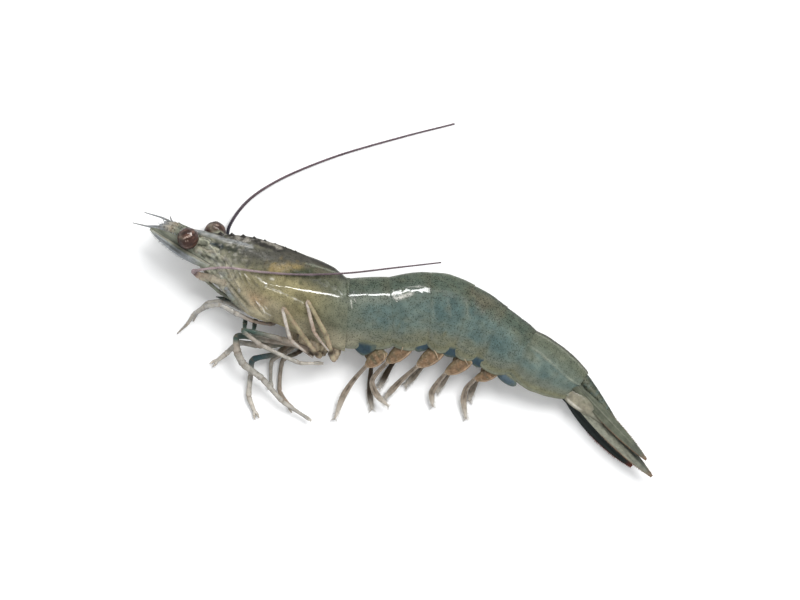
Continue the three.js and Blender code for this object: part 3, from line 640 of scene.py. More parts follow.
def trunk_ways(heading, roll):
    """Directions towards the back and towards the left of the trunk, with the back turned up by the roll."""
    heading, roll = np.broadcast_arrays(heading, roll)
    flat = np.stack([-np.sin(heading), np.cos(heading), np.zeros(heading.shape)], axis=-1)
    c, s = np.cos(roll)[..., None], np.sin(roll)[..., None]
    return flat * c + UP * s, UP * c - flat * s


def trunk_rows(centre, heading, roll, outline):
    """Rings of points for sections set across the axis."""
    back, left = trunk_ways(heading, roll)
    high, wide = outline
    return centre[:, None] + high[..., None] * back[:, None] + wide[..., None] * left[:, None]


def raised(rows, relief):
    """Moves the points of a skin outwards by the relief."""
    along = np.gradient(rows, axis=0)
    around = np.roll(rows, -1, axis=1) - np.roll(rows, 1, axis=1)
    normal = unit(np.cross(around, along))
    outwards = np.sign(np.sum(normal * (rows - rows.mean(axis=1, keepdims=True))))
    return rows + normal * outwards * relief[..., None]


def settled(rows):
    """Flattens what would sink into the surface."""
    rows[..., 2] = np.maximum(rows[..., 2], REST_HEIGHT)
    return rows


def below_line(place, girth, stops, wobble=0.0):
    """How far each point lies below a line over the shell, in girth. The line wavers by the wobble."""
    places, heights = np.array(stops, float).T
    waver = np.sin(place * 0.9) + 0.7 * np.sin(place * 2.1 + 1) + 0.4 * np.sin(place * 3.7 + 2)
    return girth - np.interp(place, places, heights) - wobble * waver


# Lines over the head shell as (distance forward of the neck, girth)
GILL_LINE = [(-1, 0.32), (1.8, 0.36), (8.2, 0.425), (13.5, 0.48), (16.4, 0.5), (18.4, 0.524), (20, 0.541),
             (22.8, 0.555), (26, 0.55), (30, 0.56)]
SECOND_LINE = [(9.0, 0.605), (22.4, 0.595)]
LOW_LINE = [(17.8, 0.985), (21.5, 0.90), (24.6, 0.845)]
CERVICAL_LINE = [(19, 0.1), (24, 0.34), (29, 0.5)]

# Short wrinkles on the front of the head shell: place forward, girth, half length and fall per millimetre
WRINKLES = [(31.4, 0.67, 1.3, 0.03), (29.0, 0.67, 1.4, 0.03), (27.6, 0.63, 1.2, 0.025),
            (25.2, 0.59, 1.3, 0.02), (22.0, 0.83, 1.6, 0.03), (20.6, 0.89, 1.2, 0.03),
            (30.0, 0.78, 1.4, 0.02), (33.5, 0.74, 1.2, 0.03)]


def wrinkle_relief(forward, girth):
    """Height of the short wrinkles on the front of the head shell."""
    relief = 0.0
    for place, height, reach, fall in WRINKLES:
        off = girth - height - fall * (place - forward)
        relief = relief + 0.46 * hump(forward, place, reach) * hump(off * GIRTH_LENGTH, 0, 0.4)
    return relief


def bright_step(below, slope, width):
    """A step along a line with an even slope over its width in millimetres, which catches the light."""
    return slope * width * np.clip(below * GIRTH_LENGTH / width + 0.5, 0, 1)


def wet_lines(forward, girth):
    """Where water stands along the steps and wrinkles of the head shell."""
    wet = hump(below_line(forward, girth, GILL_LINE), 0.0, 0.04) * within(forward, 0.4, 1.6, 26, 30)
    wet = wet + hump(below_line(forward, girth, SECOND_LINE), 0.0, 0.025) * within(forward, 8, 10, 22, 25)
    wet = wet + hump(below_line(forward, girth, LOW_LINE), 0.0, 0.03) * within(forward, 16, 18, 25, 27)
    return np.clip(wet + smooth(wrinkle_relief(forward, girth), 0.04, 0.14), 0, 1)


def skin_folds(forward):
    """Uneven waves along the soft skin under the head shell."""
    return np.sin(forward * 2.1 + 3 * np.sin(forward * 0.37))


def carapace_relief(forward, girth):
    """Relief of the head shell in millimetres, by distance forward of the neck and girth."""
    crest = np.interp(forward, *np.array(GILL_LINE).T)
    uneven = 0.07 * np.sin(forward * 2.3) + 0.05 * np.sin(forward * 5.1 + 1)
    width = 0.34 + 0.42 * hump(forward, 9.5, 4.5) + uneven
    slope = np.tan(np.radians(150 * crest - 47))
    gill = bright_step(below_line(forward, girth, GILL_LINE, 0.0015), slope, width)
    gill = gill * within(forward, 0.4, 2.4, 24, 28) * smooth(girth, 1.0, 0.62)
    second = bright_step(below_line(forward, girth, SECOND_LINE, 0.002), 1.02, 0.3)
    second = second * within(forward, 8.0, 10.5, 21.5, 24) * smooth(girth, 0.8, 0.64)
    low = bright_step(below_line(forward, girth, LOW_LINE, 0.002), 1.65, 0.28)
    low = low * within(forward, 17, 18.5, 24, 25.5)
    cervical = -0.22 * hump(below_line(forward, girth, CERVICAL_LINE), 0, 0.03)
    cervical = cervical * within(forward, 19, 22, 28, 31)
    beside_ridge = -0.3 * hump(girth, 0.14, 0.05) * within(forward, 14, 20, 40, 45)
    keel = 0.25 * hump(girth, 0.0, 0.045) * smooth(forward, 10, 18)
    rim = 0.04 * hump(forward, -0.6, 0.4) - 0.06 * hump(forward, 0.5, 0.4)
    border = 0.16 * hump(girth, 0.965, 0.03) * smooth(forward, 36, 30)
    steps = gill + second + low + wrinkle_relief(forward, girth)
    lines = steps + cervical + beside_ridge + keel + rim + border
    folds = 0.16 * skin_folds(forward) * smooth(girth, 1.45, 1.6)
    return np.where(girth <= 1.1, lines, folds)


# Marks drawn over the near side of the head as (points of a line in X and Y, half width, colour, strength),
# among them painted highlights and painted shade
HEAD_MARKS = [
    ([(-31.3, 3.6), (-25.2, 5.7), (-21.2, 7.1), (-16.0, 8.6)], 3.0, HEAD_MAUVE, 0.85),
    ([(-22.1, 3.3), (-19.5, 4.8), (-16.4, 6.3)], 1.35, YELLOW, 0.75),
    ([(-17.0, 4.0), (-13.2, 6.5)], 1.3, GREEN_DARK, 1.0),
    ([(-12.4, 4.6), (-5.5, 6.3)], 1.3, GREEN_DARK, 0.35),
    ([(-45.5, 3.6), (-37.3, 5.1), (-30.8, 6.2)], 0.95, ROSTRUM_PALE, 0.8),
    # Dark marks right of the eye and along the slot under the rostrum: painted shade
    ([(-43.4, 2.0), (-41.9, 1.5), (-40.4, 0.6), (-39.0, 0.4)], 0.85, SCALE_DARK, 0.6),
    ([(-38.3, 2.5), (-37.2, 2.7), (-36.2, 2.8), (-35.0, 3.0), (-33.8, 3.1)], 0.65, SCALE_DARK, 0.85),
    ([(-35.9, 3.3), (-32.3, 3.1)], 0.5, SCALE_DARK, 0.5),
    ([(-42.0, 2.4), (-41.2, 2.4), (-40.4, 2.4), (-39.6, 2.5), (-38.8, 2.6), (-38.0, 2.7)],
     0.8, DARK_TIPS_AND_SLOT_SHADE, 1.0),
    ([(-33.2, 5.1), (-27.6, 7.1), (-22.8, 8.7)], 0.2, TOOTH_PALE, 0.8),
    # A white line under the pale stripe of the rostrum: a painted highlight
    ([(-38.8, 4.2), (-33.8, 5.0), (-29.8, 5.9)], 0.17, PAINTED_HIGHLIGHT, 0.5),
    ([(-43.8, 3.5), (-38.5, 4.8), (-33.7, 5.9)], 0.14, LIMB_PALE, 0.7),
    ([(-14.9, 8.2), (-6.2, 9.2)], 0.3, SHELL_PALE, 0.6),
    ([(-4.0, 9.8), (-3.4, 8.6), (-2.3, 6.6), (-1.1, 4.5)], 0.28, GREEN_DARK, 0.8),
    ([(-43.7, -0.3), (-41.0, 0.3), (-38.2, 0.5)], 0.45, SCALE_TAN, 0.4),
    ([(-40.9, -1.4), (-38.0, -1.2), (-35.7, -1.1)], 0.5, SCALE_DARK, 0.55),
    ([(-35.0, -2.5), (-34.5, 0.1)], 0.4, SCALE_DARK, 0.5),
    # Thin pale streaks and white marks on the front and the lower flank: painted highlights
    ([(-38.5, -2.7), (-35.6, -2.5)], 0.35, LIMB_PALE, 0.6),
    ([(-35.9, 0.6), (-32.8, -0.9)], 0.3, LIMB_PALE, 0.6),
    ([(-35.8, -3.9), (-34.0, -4.8)], 0.16, PAINTED_HIGHLIGHT, 0.6),
    ([(-30.2, -1.8), (-28.1, -2.6)], 0.16, PAINTED_HIGHLIGHT, 0.6),
    ([(-28.7, -1.5), (-26.9, -2.2)], 0.16, PAINTED_HIGHLIGHT, 0.6),
    ([(-26.1, -0.7), (-23.9, -1.0)], 0.16, PAINTED_HIGHLIGHT, 0.5),
    ([(-24.1, -1.3), (-22.3, -1.4)], 0.16, PAINTED_HIGHLIGHT, 0.5),
    ([(-21.7, 0.4), (-21.3, 0.5)], 0.4, PAINTED_HIGHLIGHT, 0.5),
    ([(-23.6, -6.7), (-22.1, -7.2), (-20.7, -7.6), (-19.7, -8.6), (-17.9, -8.8)], 0.15, PAINTED_HIGHLIGHT, 0.9),
    ([(-22.1, -6.8), (-20.9, -6.9), (-19.3, -7.5)], 0.13, PAINTED_HIGHLIGHT, 0.8),
    ([(-23.0, -6.0), (-21.6, -5.9)], 0.13, PAINTED_HIGHLIGHT, 0.5),
    ([(-29.4, -5.5), (-28.7, -6.0)], 0.25, PAINTED_HIGHLIGHT, 0.5),
    ([(-22.2, -2.1), (-18.8, -1.8), (-15.2, -1.8), (-11.4, -1.8)], 0.11, PAINTED_HIGHLIGHT, 0.5),
]
RIDGE_MARKS = [
    ([(-36.9, 6.5), (-35.4, 6.6)], 1.1, RIDGE_DARK, 1.0),
    ([(-34.2, 7.2), (-32.7, 7.3)], 1.1, RIDGE_DARK, 1.0),
    ([(-31.5, 7.8), (-28.2, 8.0)], 1.2, RIDGE_DARK, 1.0),
    ([(-27.8, 7.9), (-22.7, 8.3)], 0.9, RIDGE_DARK, 0.9),
    ([(-35.0, 6.8), (-34.4, 6.8)], 0.8, TOOTH_PALE, 1.0),
    ([(-32.3, 7.4), (-31.6, 7.4)], 0.8, TOOTH_PALE, 1.0),
    ([(-28.2, 8.8), (-25.7, 9.2), (-23.0, 9.1)], 0.5, TOOTH_PALE, 0.85),
]


def drawn(rows, marks, both=False):
    """Layers of paint for marks seen from above, with masks over a skin or over both halves of a trunk."""
    seen = rows[:, :len(LEFT_GIRTH)] if both else rows
    waver = 1 + 0.25 * ripple(seen, 2, 14)
    spots = seen.reshape(-1, 3)
    layers = []
    for line, width, shade, strength in marks:
        ends = []
        for x, y in line:
            off = np.hypot(spots[:, 0] - x, spots[:, 1] - y)
            near = spots[off <= max(0.4, off.min() + 0.1)]
            ends.append(np.array([x, y, near[:, 2].max()]))
        gap = np.full(seen.shape[:2], np.inf)
        for start, end in zip(ends[:-1], ends[1:]):
            step = end - start
            share = np.clip((seen - start) @ step / (step @ step), 0, 1)
            gap = np.minimum(gap, np.linalg.norm(seen - start - share[..., None] * step, axis=-1))
        mask = strength * np.exp(-(gap * waver / width) ** 2)
        layers.append((np.concatenate([mask, mask[:, -2:0:-1]], axis=1) if both else mask, shade))
    return layers


def carapace_paint(forward, girth, rows):
    """Colours of the head shell: grey over the back, olive on the flank and pale at the front."""
    patchy = ripple(rows, 6, 11)
    streaky = ripple(rows * [0.5, 1, 1], 3, 12)
    fine = ripple(rows * [0.5, 1, 1], 1.0, 13)
    upper = smooth(girth, 0.46, 0.3)
    ridge = hump(girth, 0, 0.13) * smooth(forward, -2, 3)
    front = smooth(forward, 27, 33)
    specks = 0.42 + 0.2 * upper + 0.08 * smooth(forward, 18, 6)
    return painted(
        OLIVE,
        (upper * 0.85, HEAD_GREY),
        (smooth(forward, 13, 3) * 0.85, HEAD_REAR),
        (smooth(forward, 5, -1) * 0.3, SHELL_MID),
        (smooth(girth, 0.68, 0.88) * smooth(forward, 16, 8) * 0.75, HEAD_SKIRT),
        (front * smooth(girth, 0.3, 0.45) * 0.85, HEAD_FRONT),
        (smooth(girth, 0.6, 0.82) * smooth(forward, 10, 18) * 0.75, HEAD_LOW),
        (smooth(forward, 19, 25) * smooth(girth, 0.6, 0.48) * 0.6, HEAD_DUSK),
        (spot(forward, girth, (23.0, 0.79), (3.2, 0.09)) * 0.85, HEAD_ORANGE),
        (spot(forward, girth, (9.0, 0.30), (4.5, 0.09)) * 0.45, GREEN_DARK),
        (0.2 * patchy, OLIVE_DARK),
        (0.08 * streaky * smooth(forward, 14, 24), HEAD_LOW),
        (hump(girth, 0.97, 0.03) * within(forward, 21, 25, 33, 37) * 0.45, SCALE_PALE),
        (hump(girth, 0.90, 0.025) * within(forward, 22, 26, 32, 36) * 0.7, SCALE_DARK),
        (ridge * 0.95, RIDGE_DARK),
        *drawn(rows, HEAD_MARKS + RIDGE_MARKS, True),
        (0.35 * smooth(fine, 0.6, 1.6) * front, LIMB_PALE),
        (0.3 * smooth(-fine, 0.6, 1.6) * front, SCALE_DARK),
        (smooth(girth, 1.15, 1.4), MEMBRANE),
        (smooth(girth, 1.15, 1.4) * smooth(forward, 21, 27), HEAD_FRONT),
        (0.5 * smooth(girth, 1.4, 1.6) * smooth(skin_folds(forward), 0.3, -0.8), BELLY_SHADE),
        specks=specks * smooth(girth, 1.1, 0.95) * smooth(forward, 42, 34),
        film=0.04 + 0.96 * wet_lines(forward, girth),
    )


def carapace():
    """The head shell with its rostrum, ridge of teeth and soft underside."""
    shell = Surface()
    front = np.linspace(CARAPACE_LENGTH, 2, 210, endpoint=False)
    forward = np.concatenate([front, np.linspace(2, -CARAPACE_OVERLAP, 22)])
    inside = np.maximum(forward, 0)
    lean = NECK_BEND * (1 - smooth(forward, 0, NECK_BEND_REACH))
    profiles = (CARAPACE_BACK, CARAPACE_HEM, CARAPACE_LIP, CARAPACE_HALF)
    sizes = [through(profile)(inside) for profile in profiles]
    behind = np.maximum(-forward, 0)
    centre = np.stack([-inside + behind * np.cos(NECK_BEND), behind * np.sin(NECK_BEND),
                       np.full(len(forward), CARAPACE_HEIGHT)], axis=1)
    rows = trunk_rows(centre, lean, CARAPACE_ROLL, trunk_outline(*sizes))
    place, girth = forward[:, None], GIRTH[None, :]
    small = smooth(sizes[3], 0.3, 4)[:, None]
    uneven = 0.05 * ripple(rows, 6, 3) + 0.02 * ripple(rows, 2, 4)
    calm = 1 - 0.85 * wet_lines(place, girth)
    rows = raised(rows, small * (carapace_relief(place, girth) + calm * uneven))
    paint = carapace_paint(place, girth, rows)
    inner = rows[-1] + (rows[-1].mean(axis=0) - rows[-1]) * 0.05
    shell.loft(settled(np.concatenate([rows, inner[None]])), np.concatenate([paint, paint[-1:]]))
    for tooth in np.linspace(TOOTH_FIRST, TOOTH_LAST, TEETH):
        ridge_tooth(shell, tooth)
    piece("head_shell", shell, SHELL, "head_shell", "carapace")


def ridge_tooth(shell, forward):
    """A flat tooth that leans forward on the ridge of the back."""
    back, left = trunk_ways(0.0, CARAPACE_ROLL)
    height = float(through(CARAPACE_BACK)(forward)) + 0.1
    root = np.array([-forward, 0, CARAPACE_HEIGHT]) + back * height
    s = np.linspace(0, 1, 9)[:, None, None]
    angle = round_angles(14)[None, :, None]
    ahead = TOOTH_REACH * s ** 1.3 + TOOTH_LENGTH / 2 * (1 - 0.95 * s) * np.cos(angle)
    rise = -0.5 + (TOOTH_HEIGHT + 0.5) * s
    out = TOOTH_WIDTH / 2 * (1 - 0.9 * s) * np.sin(angle)
    rows = root + ahead * [-1, 0, 0] + rise * back + out * left
    shell.loft(rows, painted(RIDGE_DARK, (0.35 * smooth(s[..., 0], 0.3, 0.0), HEAD_GREY)))


RING_SIZES = [along_joints(sizes) for sizes in (ABDOMEN_BACK, ABDOMEN_HEM, ABDOMEN_LIP, ABDOMEN_HALF)]
ring_height = along_joints(ABDOMEN_HEIGHT)
ring_roll = along_joints(ABDOMEN_ROLL)


def joint_places():
    """Place and heading of each joint of the abdomen in the plane of the surface."""
    places = [(np.zeros(2), NECK_BEND)]
    for index in range(len(RING_LENGTH)):
        places.append(ring_axis(places, index, 1.0))
    return places


def ring_axis(places, index, part):
    """Point and heading on the axis at a part of a ring's length."""
    start, heading = places[index]
    bend = RING_BEND[index]
    radius = RING_LENGTH[index] / bend
    part = np.asarray(part, float)
    forward, aside = radius * np.sin(bend * part), radius * (1 - np.cos(bend * part))
    x = start[0] + forward * math.cos(heading) - aside * math.sin(heading)
    y = start[1] + forward * math.sin(heading) + aside * math.cos(heading)
    return np.stack([x, y], axis=-1), heading + bend * part


JOINTS = joint_places()


def plate_gap(place):
    """How much of the side plate's depth a notch takes away at a place along the rings."""
    return sum(depth * np.exp(-((place - middle) / width) ** 2) for middle, depth, width in PLATE_GAPS)


# Ridge along the flank of the last ring as (part of the ring, girth)
CARINA_LINE = [(0.24, 0.447), (0.95, 0.57)]

# Marks drawn over the near side of the rings, like those of the head, among them painted highlights
RING_MARKS = [
    ([(12.1, 7.9), (14.1, 5.9)], 1.7, SHELL_DEEP, 0.4),
    ([(21.3, 13.4), (23.9, 9.8)], 1.5, SHELL_DEEP, 0.5),
    ([(24.5, 15.4), (27.6, 13.3)], 1.6, SHELL_DEEP, 0.5),
    ([(30.7, 15.3), (32.9, 14.0)], 1.4, SHELL_DEEP, 0.4),
    ([(39.5, 10.5), (42.8, 10.3)], 1.6, SHELL_DEEP, 0.35),
    ([(9.7, -1.1), (12.5, -0.7)], 2.0, SHELL_OLIVE, 0.35),
    ([(17.9, 1.7), (21.2, 2.7)], 1.6, SHELL_OLIVE, 0.45),
    ([(25.4, 4.6), (28.7, 5.0)], 1.5, SHELL_OLIVE, 0.45),
    ([(33.6, 6.0), (37.2, 5.9)], 1.4, SHELL_OLIVE, 0.4),
    ([(28.9, 20.1), (32.7, 17.4)], 1.5, SHELL_BROWN, 0.5),
    ([(19.8, 12.9), (22.1, 9.0)], 0.4, SHELL_PALE, 0.2),
    ([(23.5, 15.0), (25.9, 11.4)], 0.4, SHELL_PALE, 0.2),
    ([(28.4, 16.3), (30.4, 12.8)], 0.4, SHELL_PALE, 0.2),
    ([(48.2, 10.9), (51.9, 10.0)], 1.4, SHELL_PALE, 0.25),
    ([(46.7, 13.5), (49.3, 11.8)], 1.3, GREEN_DARK, 0.4),
    # A pale glow about the first ring's highlight and white marks along it: painted highlights
    ([(0.2, 4.2), (8.5, 8.0)], 1.2, SHELL_PALE, 0.3),
    ([(10.7, 9.6), (12.2, 10.8), (13.6, 12.3)], 0.5, PAINTED_HIGHLIGHT, 0.55),
    ([(9.1, 11.3), (10.1, 9.7), (11.3, 8.9)], 0.15, PAINTED_HIGHLIGHT, 0.6),
    ([(10.9, 12.9), (16.4, 15.8)], 0.12, PAINTED_HIGHLIGHT, 0.35),
    ([(1.0, 6.5), (0.5, 5.0), (1.5, 4.0)], 0.13, PAINTED_HIGHLIGHT, 0.55),
    ([(-0.0, 4.1), (1.1, 2.3)], 0.15, PAINTED_HIGHLIGHT, 0.45),
]


def ring_paint(index, step, girth, rows):
    """Colours of a ring: dark over the back, blue-green on the flank and olive at the hem."""
    patchy = ripple(rows, 9, 21)
    streak = ripple(rows * [1, 1, 0.4], 4, 5)
    cloudy = ripple(rows, 3, 6)
    place = index + step
    rear = smooth(step, 0.7, 1.0)
    top = smooth(girth, 0.5, 0.26)
    low = smooth(girth, 0.68, 0.88)
    last = float(index == LAST_RING)
    carina = below_line(step, girth, CARINA_LINE)
    seam = hump(step, 0.06, 0.05)
    wet = hump(girth, 0.34, 0.07) * within(place, 0.02, 0.12, 1.9, 2.1)
    return painted(
        SHELL_MID,
        (0.5 + 0.35 * patchy, SHELL_BLUE),
        (smooth(place, 0.8, 0.0) * 0.65, HEAD_REAR),
        (spot(place, girth, (1.35, 0.5), (0.55, 0.14)) * 0.7, SHELL_TEAL),
        (top, SHELL_UP),
        (low * 0.85, SHELL_LOW),
        (low * smooth(place, 0.8, 0.0) * 0.5, HEAD_SKIRT),
        (smooth(girth, 0.86, 0.95) * 0.8 * smooth(place, 0.1, 0.7), SHELL_OLIVE),
        (0.14 * streak, SHELL_LOW),
        (0.08 * cloudy, SHELL_OLIVE),
        (spot(place, girth, (3.55, 0.2), (0.35, 0.14)) * 0.6, SHELL_BROWN),
        (rear * top * 0.35, OLIVE_DARK),
        (last * smooth(carina, 0.02, -0.05) * 0.5, HEAD_REAR),
        (last * hump(carina, 0, 0.02) * (0.45 + 0.15 * streak), SHELL_PALE),
        (last * hump(girth, 0.15, 0.03) * 0.5, SHELL_PALE),
        (last * hump(girth, 0.0, 0.075) * 0.95, RIDGE_RED),
        (hump(girth, 0.0, 0.09) * 0.7 * smooth(place, 3.0, 3.8), RIDGE_DARK),
        (hump(girth, 0.0, 0.045) * 0.4 * smooth(place, 3.4, 2.6), SHELL_PALE),
        (seam * 0.15, OLIVE_DARK),
        (hump(girth, 1.0, 0.025) * 0.6, SHELL_PALE),
        (sum(spot(place, girth, (window[0], 1.0), (0.2, 0.05)) for window in WINDOWS) * 0.6, BELLY_HAZE),
        *drawn(rows, RING_MARKS, True),
        (smooth(girth, 1.12, 1.3), BELLY_SHADE),
        (0.4 * smooth(girth, 1.3, 1.5) * smooth(np.sin(place * 38), 0.2, 0.9), OLIVE_DARK),
        (smooth(girth, 1.3, 1.5) * hump(step, 0.47, 0.12) * 0.85, LIMB_PALE),
        (hump(girth, 2.0, 0.08) * 0.6, SHELL_DEEP),
        (smooth(girth, 1.3, 1.5) * (hump(step, 0.95, 0.16) * 0.7 + 0.2 * cloudy), BELLY_HAZE),
        specks=np.clip(0.62 + 0.3 * top + 0.1 * rear * top - 0.25 * last, 0, 1) * smooth(girth, 1.05, 0.92),
        film=0.03 + 0.95 * wet,
    )


# Beads of water on the first rings: part of the ring, girth and radius
DROPS = {
    0: [(0.07, 0.30, 0.34), (0.13, 0.36, 0.28), (0.18, 0.27, 0.26), (0.05, 0.40, 0.3), (0.25, 0.33, 0.24),
        (0.10, 0.23, 0.24), (0.33, 0.29, 0.22), (0.5, 0.31, 0.26), (0.62, 0.36, 0.2)],
    1: [(0.12, 0.34, 0.3), (0.25, 0.29, 0.24), (0.4, 0.37, 0.3), (0.55, 0.31, 0.26), (0.7, 0.35, 0.22)],
}


def water_drop(surface, rows, i, j, radius, paint):
    """A low bead of water on a point of a skin."""
    along = unit(rows[i + 1, j] - rows[i - 1, j])
    normal = unit(np.cross(along, rows[i, j + 1] - rows[i, j - 1]))
    normal = normal * np.sign(normal @ (rows[i, j] - rows[i].mean(axis=0)))
    across = np.cross(normal, along)
    rise = np.linspace(0.0, 1.0, 8)[:, None, None]
    angle = round_angles(16)[None, :, None]
    dome = radius * np.cos(rise * math.pi / 2 * 0.97) * (np.cos(angle) * along * 1.3 + np.sin(angle) * across)
    lift = (radius * 0.6 * np.sin(rise * math.pi / 2) - 0.06) * normal
    surface.loft(rows[i, j] + dome + lift, paint)


def ring_section(index, step):
    """Sizes of a ring's section along its length, domed over the back and lobed at the hem."""
    inside = np.clip(step, 0, 1)
    swell = np.sin(math.pi * inside) ** 0.7
    back, hem, lip, half = (size(index + inside) for size in RING_SIZES)
    back = back + RING_CROWN[index] * swell
    half = half + 0.4 * RING_CROWN[index] * swell
    lobe = RING_LOBE[index] * (swell - 0.7) - plate_gap(index + step)
    tuck = smooth(step, 0.84, 1.0) ** 2 * (index == LAST_RING)
    return back, hem + lobe - 0.5 * tuck, lip + lobe, half - 0.9 * tuck


def ring_relief(index, place, girth, rows):
    """Relief of a ring: low waves, a raised hem and rear rim, and bars across the belly."""
    wet = index < WET_RINGS
    waves = ripple(rows, 5, 7 + index) * 0.04 + ripple(rows, 1.8, 17 + index) * 0.015
    waves = waves * (0.4 if wet else 1.0) + 0.12 * hump(girth, 0.97, 0.03)
    if index == 0:
        waves = waves + 0.03 * hump((girth - 0.32) * GIRTH_LENGTH, 0, 0.6)
        waves = waves + 0.12 * smooth(place, 0.25, 0.06) * smooth(girth, 0.1, 0.3)
    else:
        waves = waves - 0.06 * smooth(place, 0.08, 0.0)
    if index == 1:
        waves = waves + 0.012 * ripple(rows, 2.6, 29) * hump(girth, 0.34, 0.1)
    if index == LAST_RING:
        waves = waves + 0.2 * hump(below_line(place, girth, CARINA_LINE), 0, 0.03)
    rim_back = WET_RIM_BACK if wet else RIM_BACK
    rim = RIM_FLANK + (rim_back - RIM_FLANK) * smooth(girth, 0.3, 0.05)
    waves = waves + rim * np.clip(place, 0, 1) ** 3
    bars = 0.45 * hump(place, 0.47, 0.12) + 0.06 * ripple(rows, 2, 45)
    bars = bars * smooth(girth, 1.4, 1.6) * within(place, 0, 0.1, 0.9, 1)
    return np.where(girth < 1.1, waves, bars)


def abdomen_ring(index):
    """One ring of shell with a thin rear rim, and beads of water on the first ones."""
    length = RING_LENGTH[index]
    rear = 1.0 if index == LAST_RING else 1 + RING_OVERLAP / length
    step = np.concatenate([np.linspace(0.1 / length, 0.85, 50, endpoint=False), np.linspace(0.85, rear, 20)])
    back, hem, lip, half = (np.concatenate([size, size[[-1, -1]]]) for size in ring_section(index, step))
    thin = np.array([0.0] * len(step) + [PLATE_THICKNESS * 0.4, PLATE_THICKNESS])
    step = np.concatenate([step, [rear, rear - 0.08]])
    inside = index + np.clip(step, 0, 1)
    axis, heading = ring_axis(JOINTS, index, step)
    centre = np.column_stack([axis, ring_height(inside)])
    outline = trunk_outline(back - thin, hem - thin, lip, half - thin)
    rows = trunk_rows(centre, heading, ring_roll(inside), outline)
    place, girth = step[:, None], GIRTH[None, :]
    rows = settled(raised(rows, ring_relief(index, place, girth, rows)))
    paint = ring_paint(index, place, girth, rows)
    plate = Surface()
    plate.loft(rows, paint)
    for part, around, radius in DROPS.get(index, []):
        i, j = np.argmin(np.abs(step - part)), np.argmin(np.abs(LEFT_GIRTH - around))
        water_drop(plate, rows, i, j, radius, np.append(paint[i, j, :4], 1.0))
    piece(f"tail_ring_{index + 1}", plate, SHELL, "shell", f"abdomen_{index + 1}")


def belly():
    """Soft blue skin under the rings, which bulges out in the notches between the side plates."""
    place = np.linspace(0.06, 5.3, 92)
    index = np.minimum(place.astype(int), LAST_RING)
    spots = [ring_axis(JOINTS, i, p - i) for i, p in zip(index, place)]
    axis = np.array([spot_axis for spot_axis, _ in spots])
    heading = np.array([turn for _, turn in spots])
    back, hem, lip, half = (size(place) for size in RING_SIZES)
    notch = [np.exp(-((place - middle) / (width * 1.1)) ** 2) for middle, _, width in PLATE_GAPS]
    bulge = sum(depth * share for depth, share in zip(SKIN_BULGE, notch))
    notch = np.clip(sum(notch), 0, 1)
    outline = trunk_outline(back - 0.9, hem - 1.1 + bulge, lip + bulge, half - 0.75 + 0.35 * notch)
    rows = trunk_rows(np.column_stack([axis, ring_height(place)]), heading, ring_roll(place), outline)
    rows = raised(rows, 0.06 * ripple(rows, 2.4, 31))
    girth = GIRTH[None, :]
    paint = painted(BELLY_BLUE, (0.35 * ripple(rows, 2.5, 32), SHELL_BLUE),
                    (smooth(girth, 1.05, 1.3), BELLY_SHADE), specks=0.3, film=0.25)
    skin = Surface()
    skin.loft(settled(rows), paint)
    for window in WINDOWS:
        skin_window(skin, *window)
    piece("belly_skin", skin, SHELL, "shell")


def globe(rings, sides):
    """Rings of points over a ball of radius one, about its X axis."""
    polar = np.linspace(0.02, math.pi - 0.02, rings)[:, None]
    angle = round_angles(sides)[None, :]
    ways = (np.cos(polar), np.sin(polar) * np.cos(angle), np.sin(polar) * np.sin(angle))
    return np.stack(np.broadcast_arrays(*ways), axis=-1)


def skin_window(surface, place, middle, length, depth, turn, taper):
    """A smooth lens of blue skin that swells out between two side plates."""
    index = min(int(place), LAST_RING)
    heading = ring_axis(JOINTS, index, place - index)[1] + math.radians(turn)
    ahead = np.array([math.cos(heading), math.sin(heading), 0])
    up, out = trunk_ways(heading, ring_roll(place) + WINDOW_TILT)
    c, a, b = np.moveaxis(globe(30, 48), -1, 0)
    a = a * (1 + taper * b)
    spots = np.stack([a * length, b * depth, c * 0.5], axis=-1)
    rows = np.array(middle) - 0.3 * out + spots @ np.array([ahead, up, out])
    rim = smooth(np.hypot(a, b) + 0.1 * ripple(rows, 1.2, 38), 0.5, 1.0)
    surface.loft(rows, painted(
        BELLY_BLUE,
        (0.25 * ripple(rows, 1.5, 36), SHELL_DEEP),
        (0.4 * float(place > 4.5), SKIN_PALE),
        (rim * 0.85, BELLY_HAZE),
        (smooth(b, 0.3, 0.9) * 0.7, SHELL_OLIVE),
        specks=0.3, film=0.03))


# Limbs


def bent_line(points, steps, straightness):
    """Points and directions along a limb's joints, between straight stretches and one smooth curve."""
    points = np.array(points, float)
    ends = np.vstack([2 * points[0] - points[1], points, 2 * points[-1] - points[-2]])
    t = np.linspace(0, 1, steps, endpoint=False)[:, None]
    route = []
    for i in range(1, len(ends) - 2):
        p0, p1, p2, p3 = ends[i - 1:i + 3]
        d0, d1, d2 = (max(math.sqrt(np.linalg.norm(b - a)), 1e-4) for a, b in ((p0, p1), (p1, p2), (p2, p3)))
        m1 = ((p1 - p0) / d0 - (p2 - p0) / (d0 + d1) + (p2 - p1) / d1) * d1
        m2 = ((p2 - p1) / d1 - (p3 - p1) / (d1 + d2) + (p3 - p2) / d2) * d1
        m1, m2 = m1 + (p2 - p1 - m1) * straightness, m2 + (p2 - p1 - m2) * straightness
        a, b = 2 * p1 - 2 * p2 + m1 + m2, -3 * p1 + 3 * p2 - 2 * m1 - m2
        route.append(((a * t + b) * t + m1) * t + p1)
    line = np.vstack([*route, points[-1:]])
    place = np.linspace(0, len(points) - 1, len(line))
    return place, line, unit(np.gradient(line, axis=0))


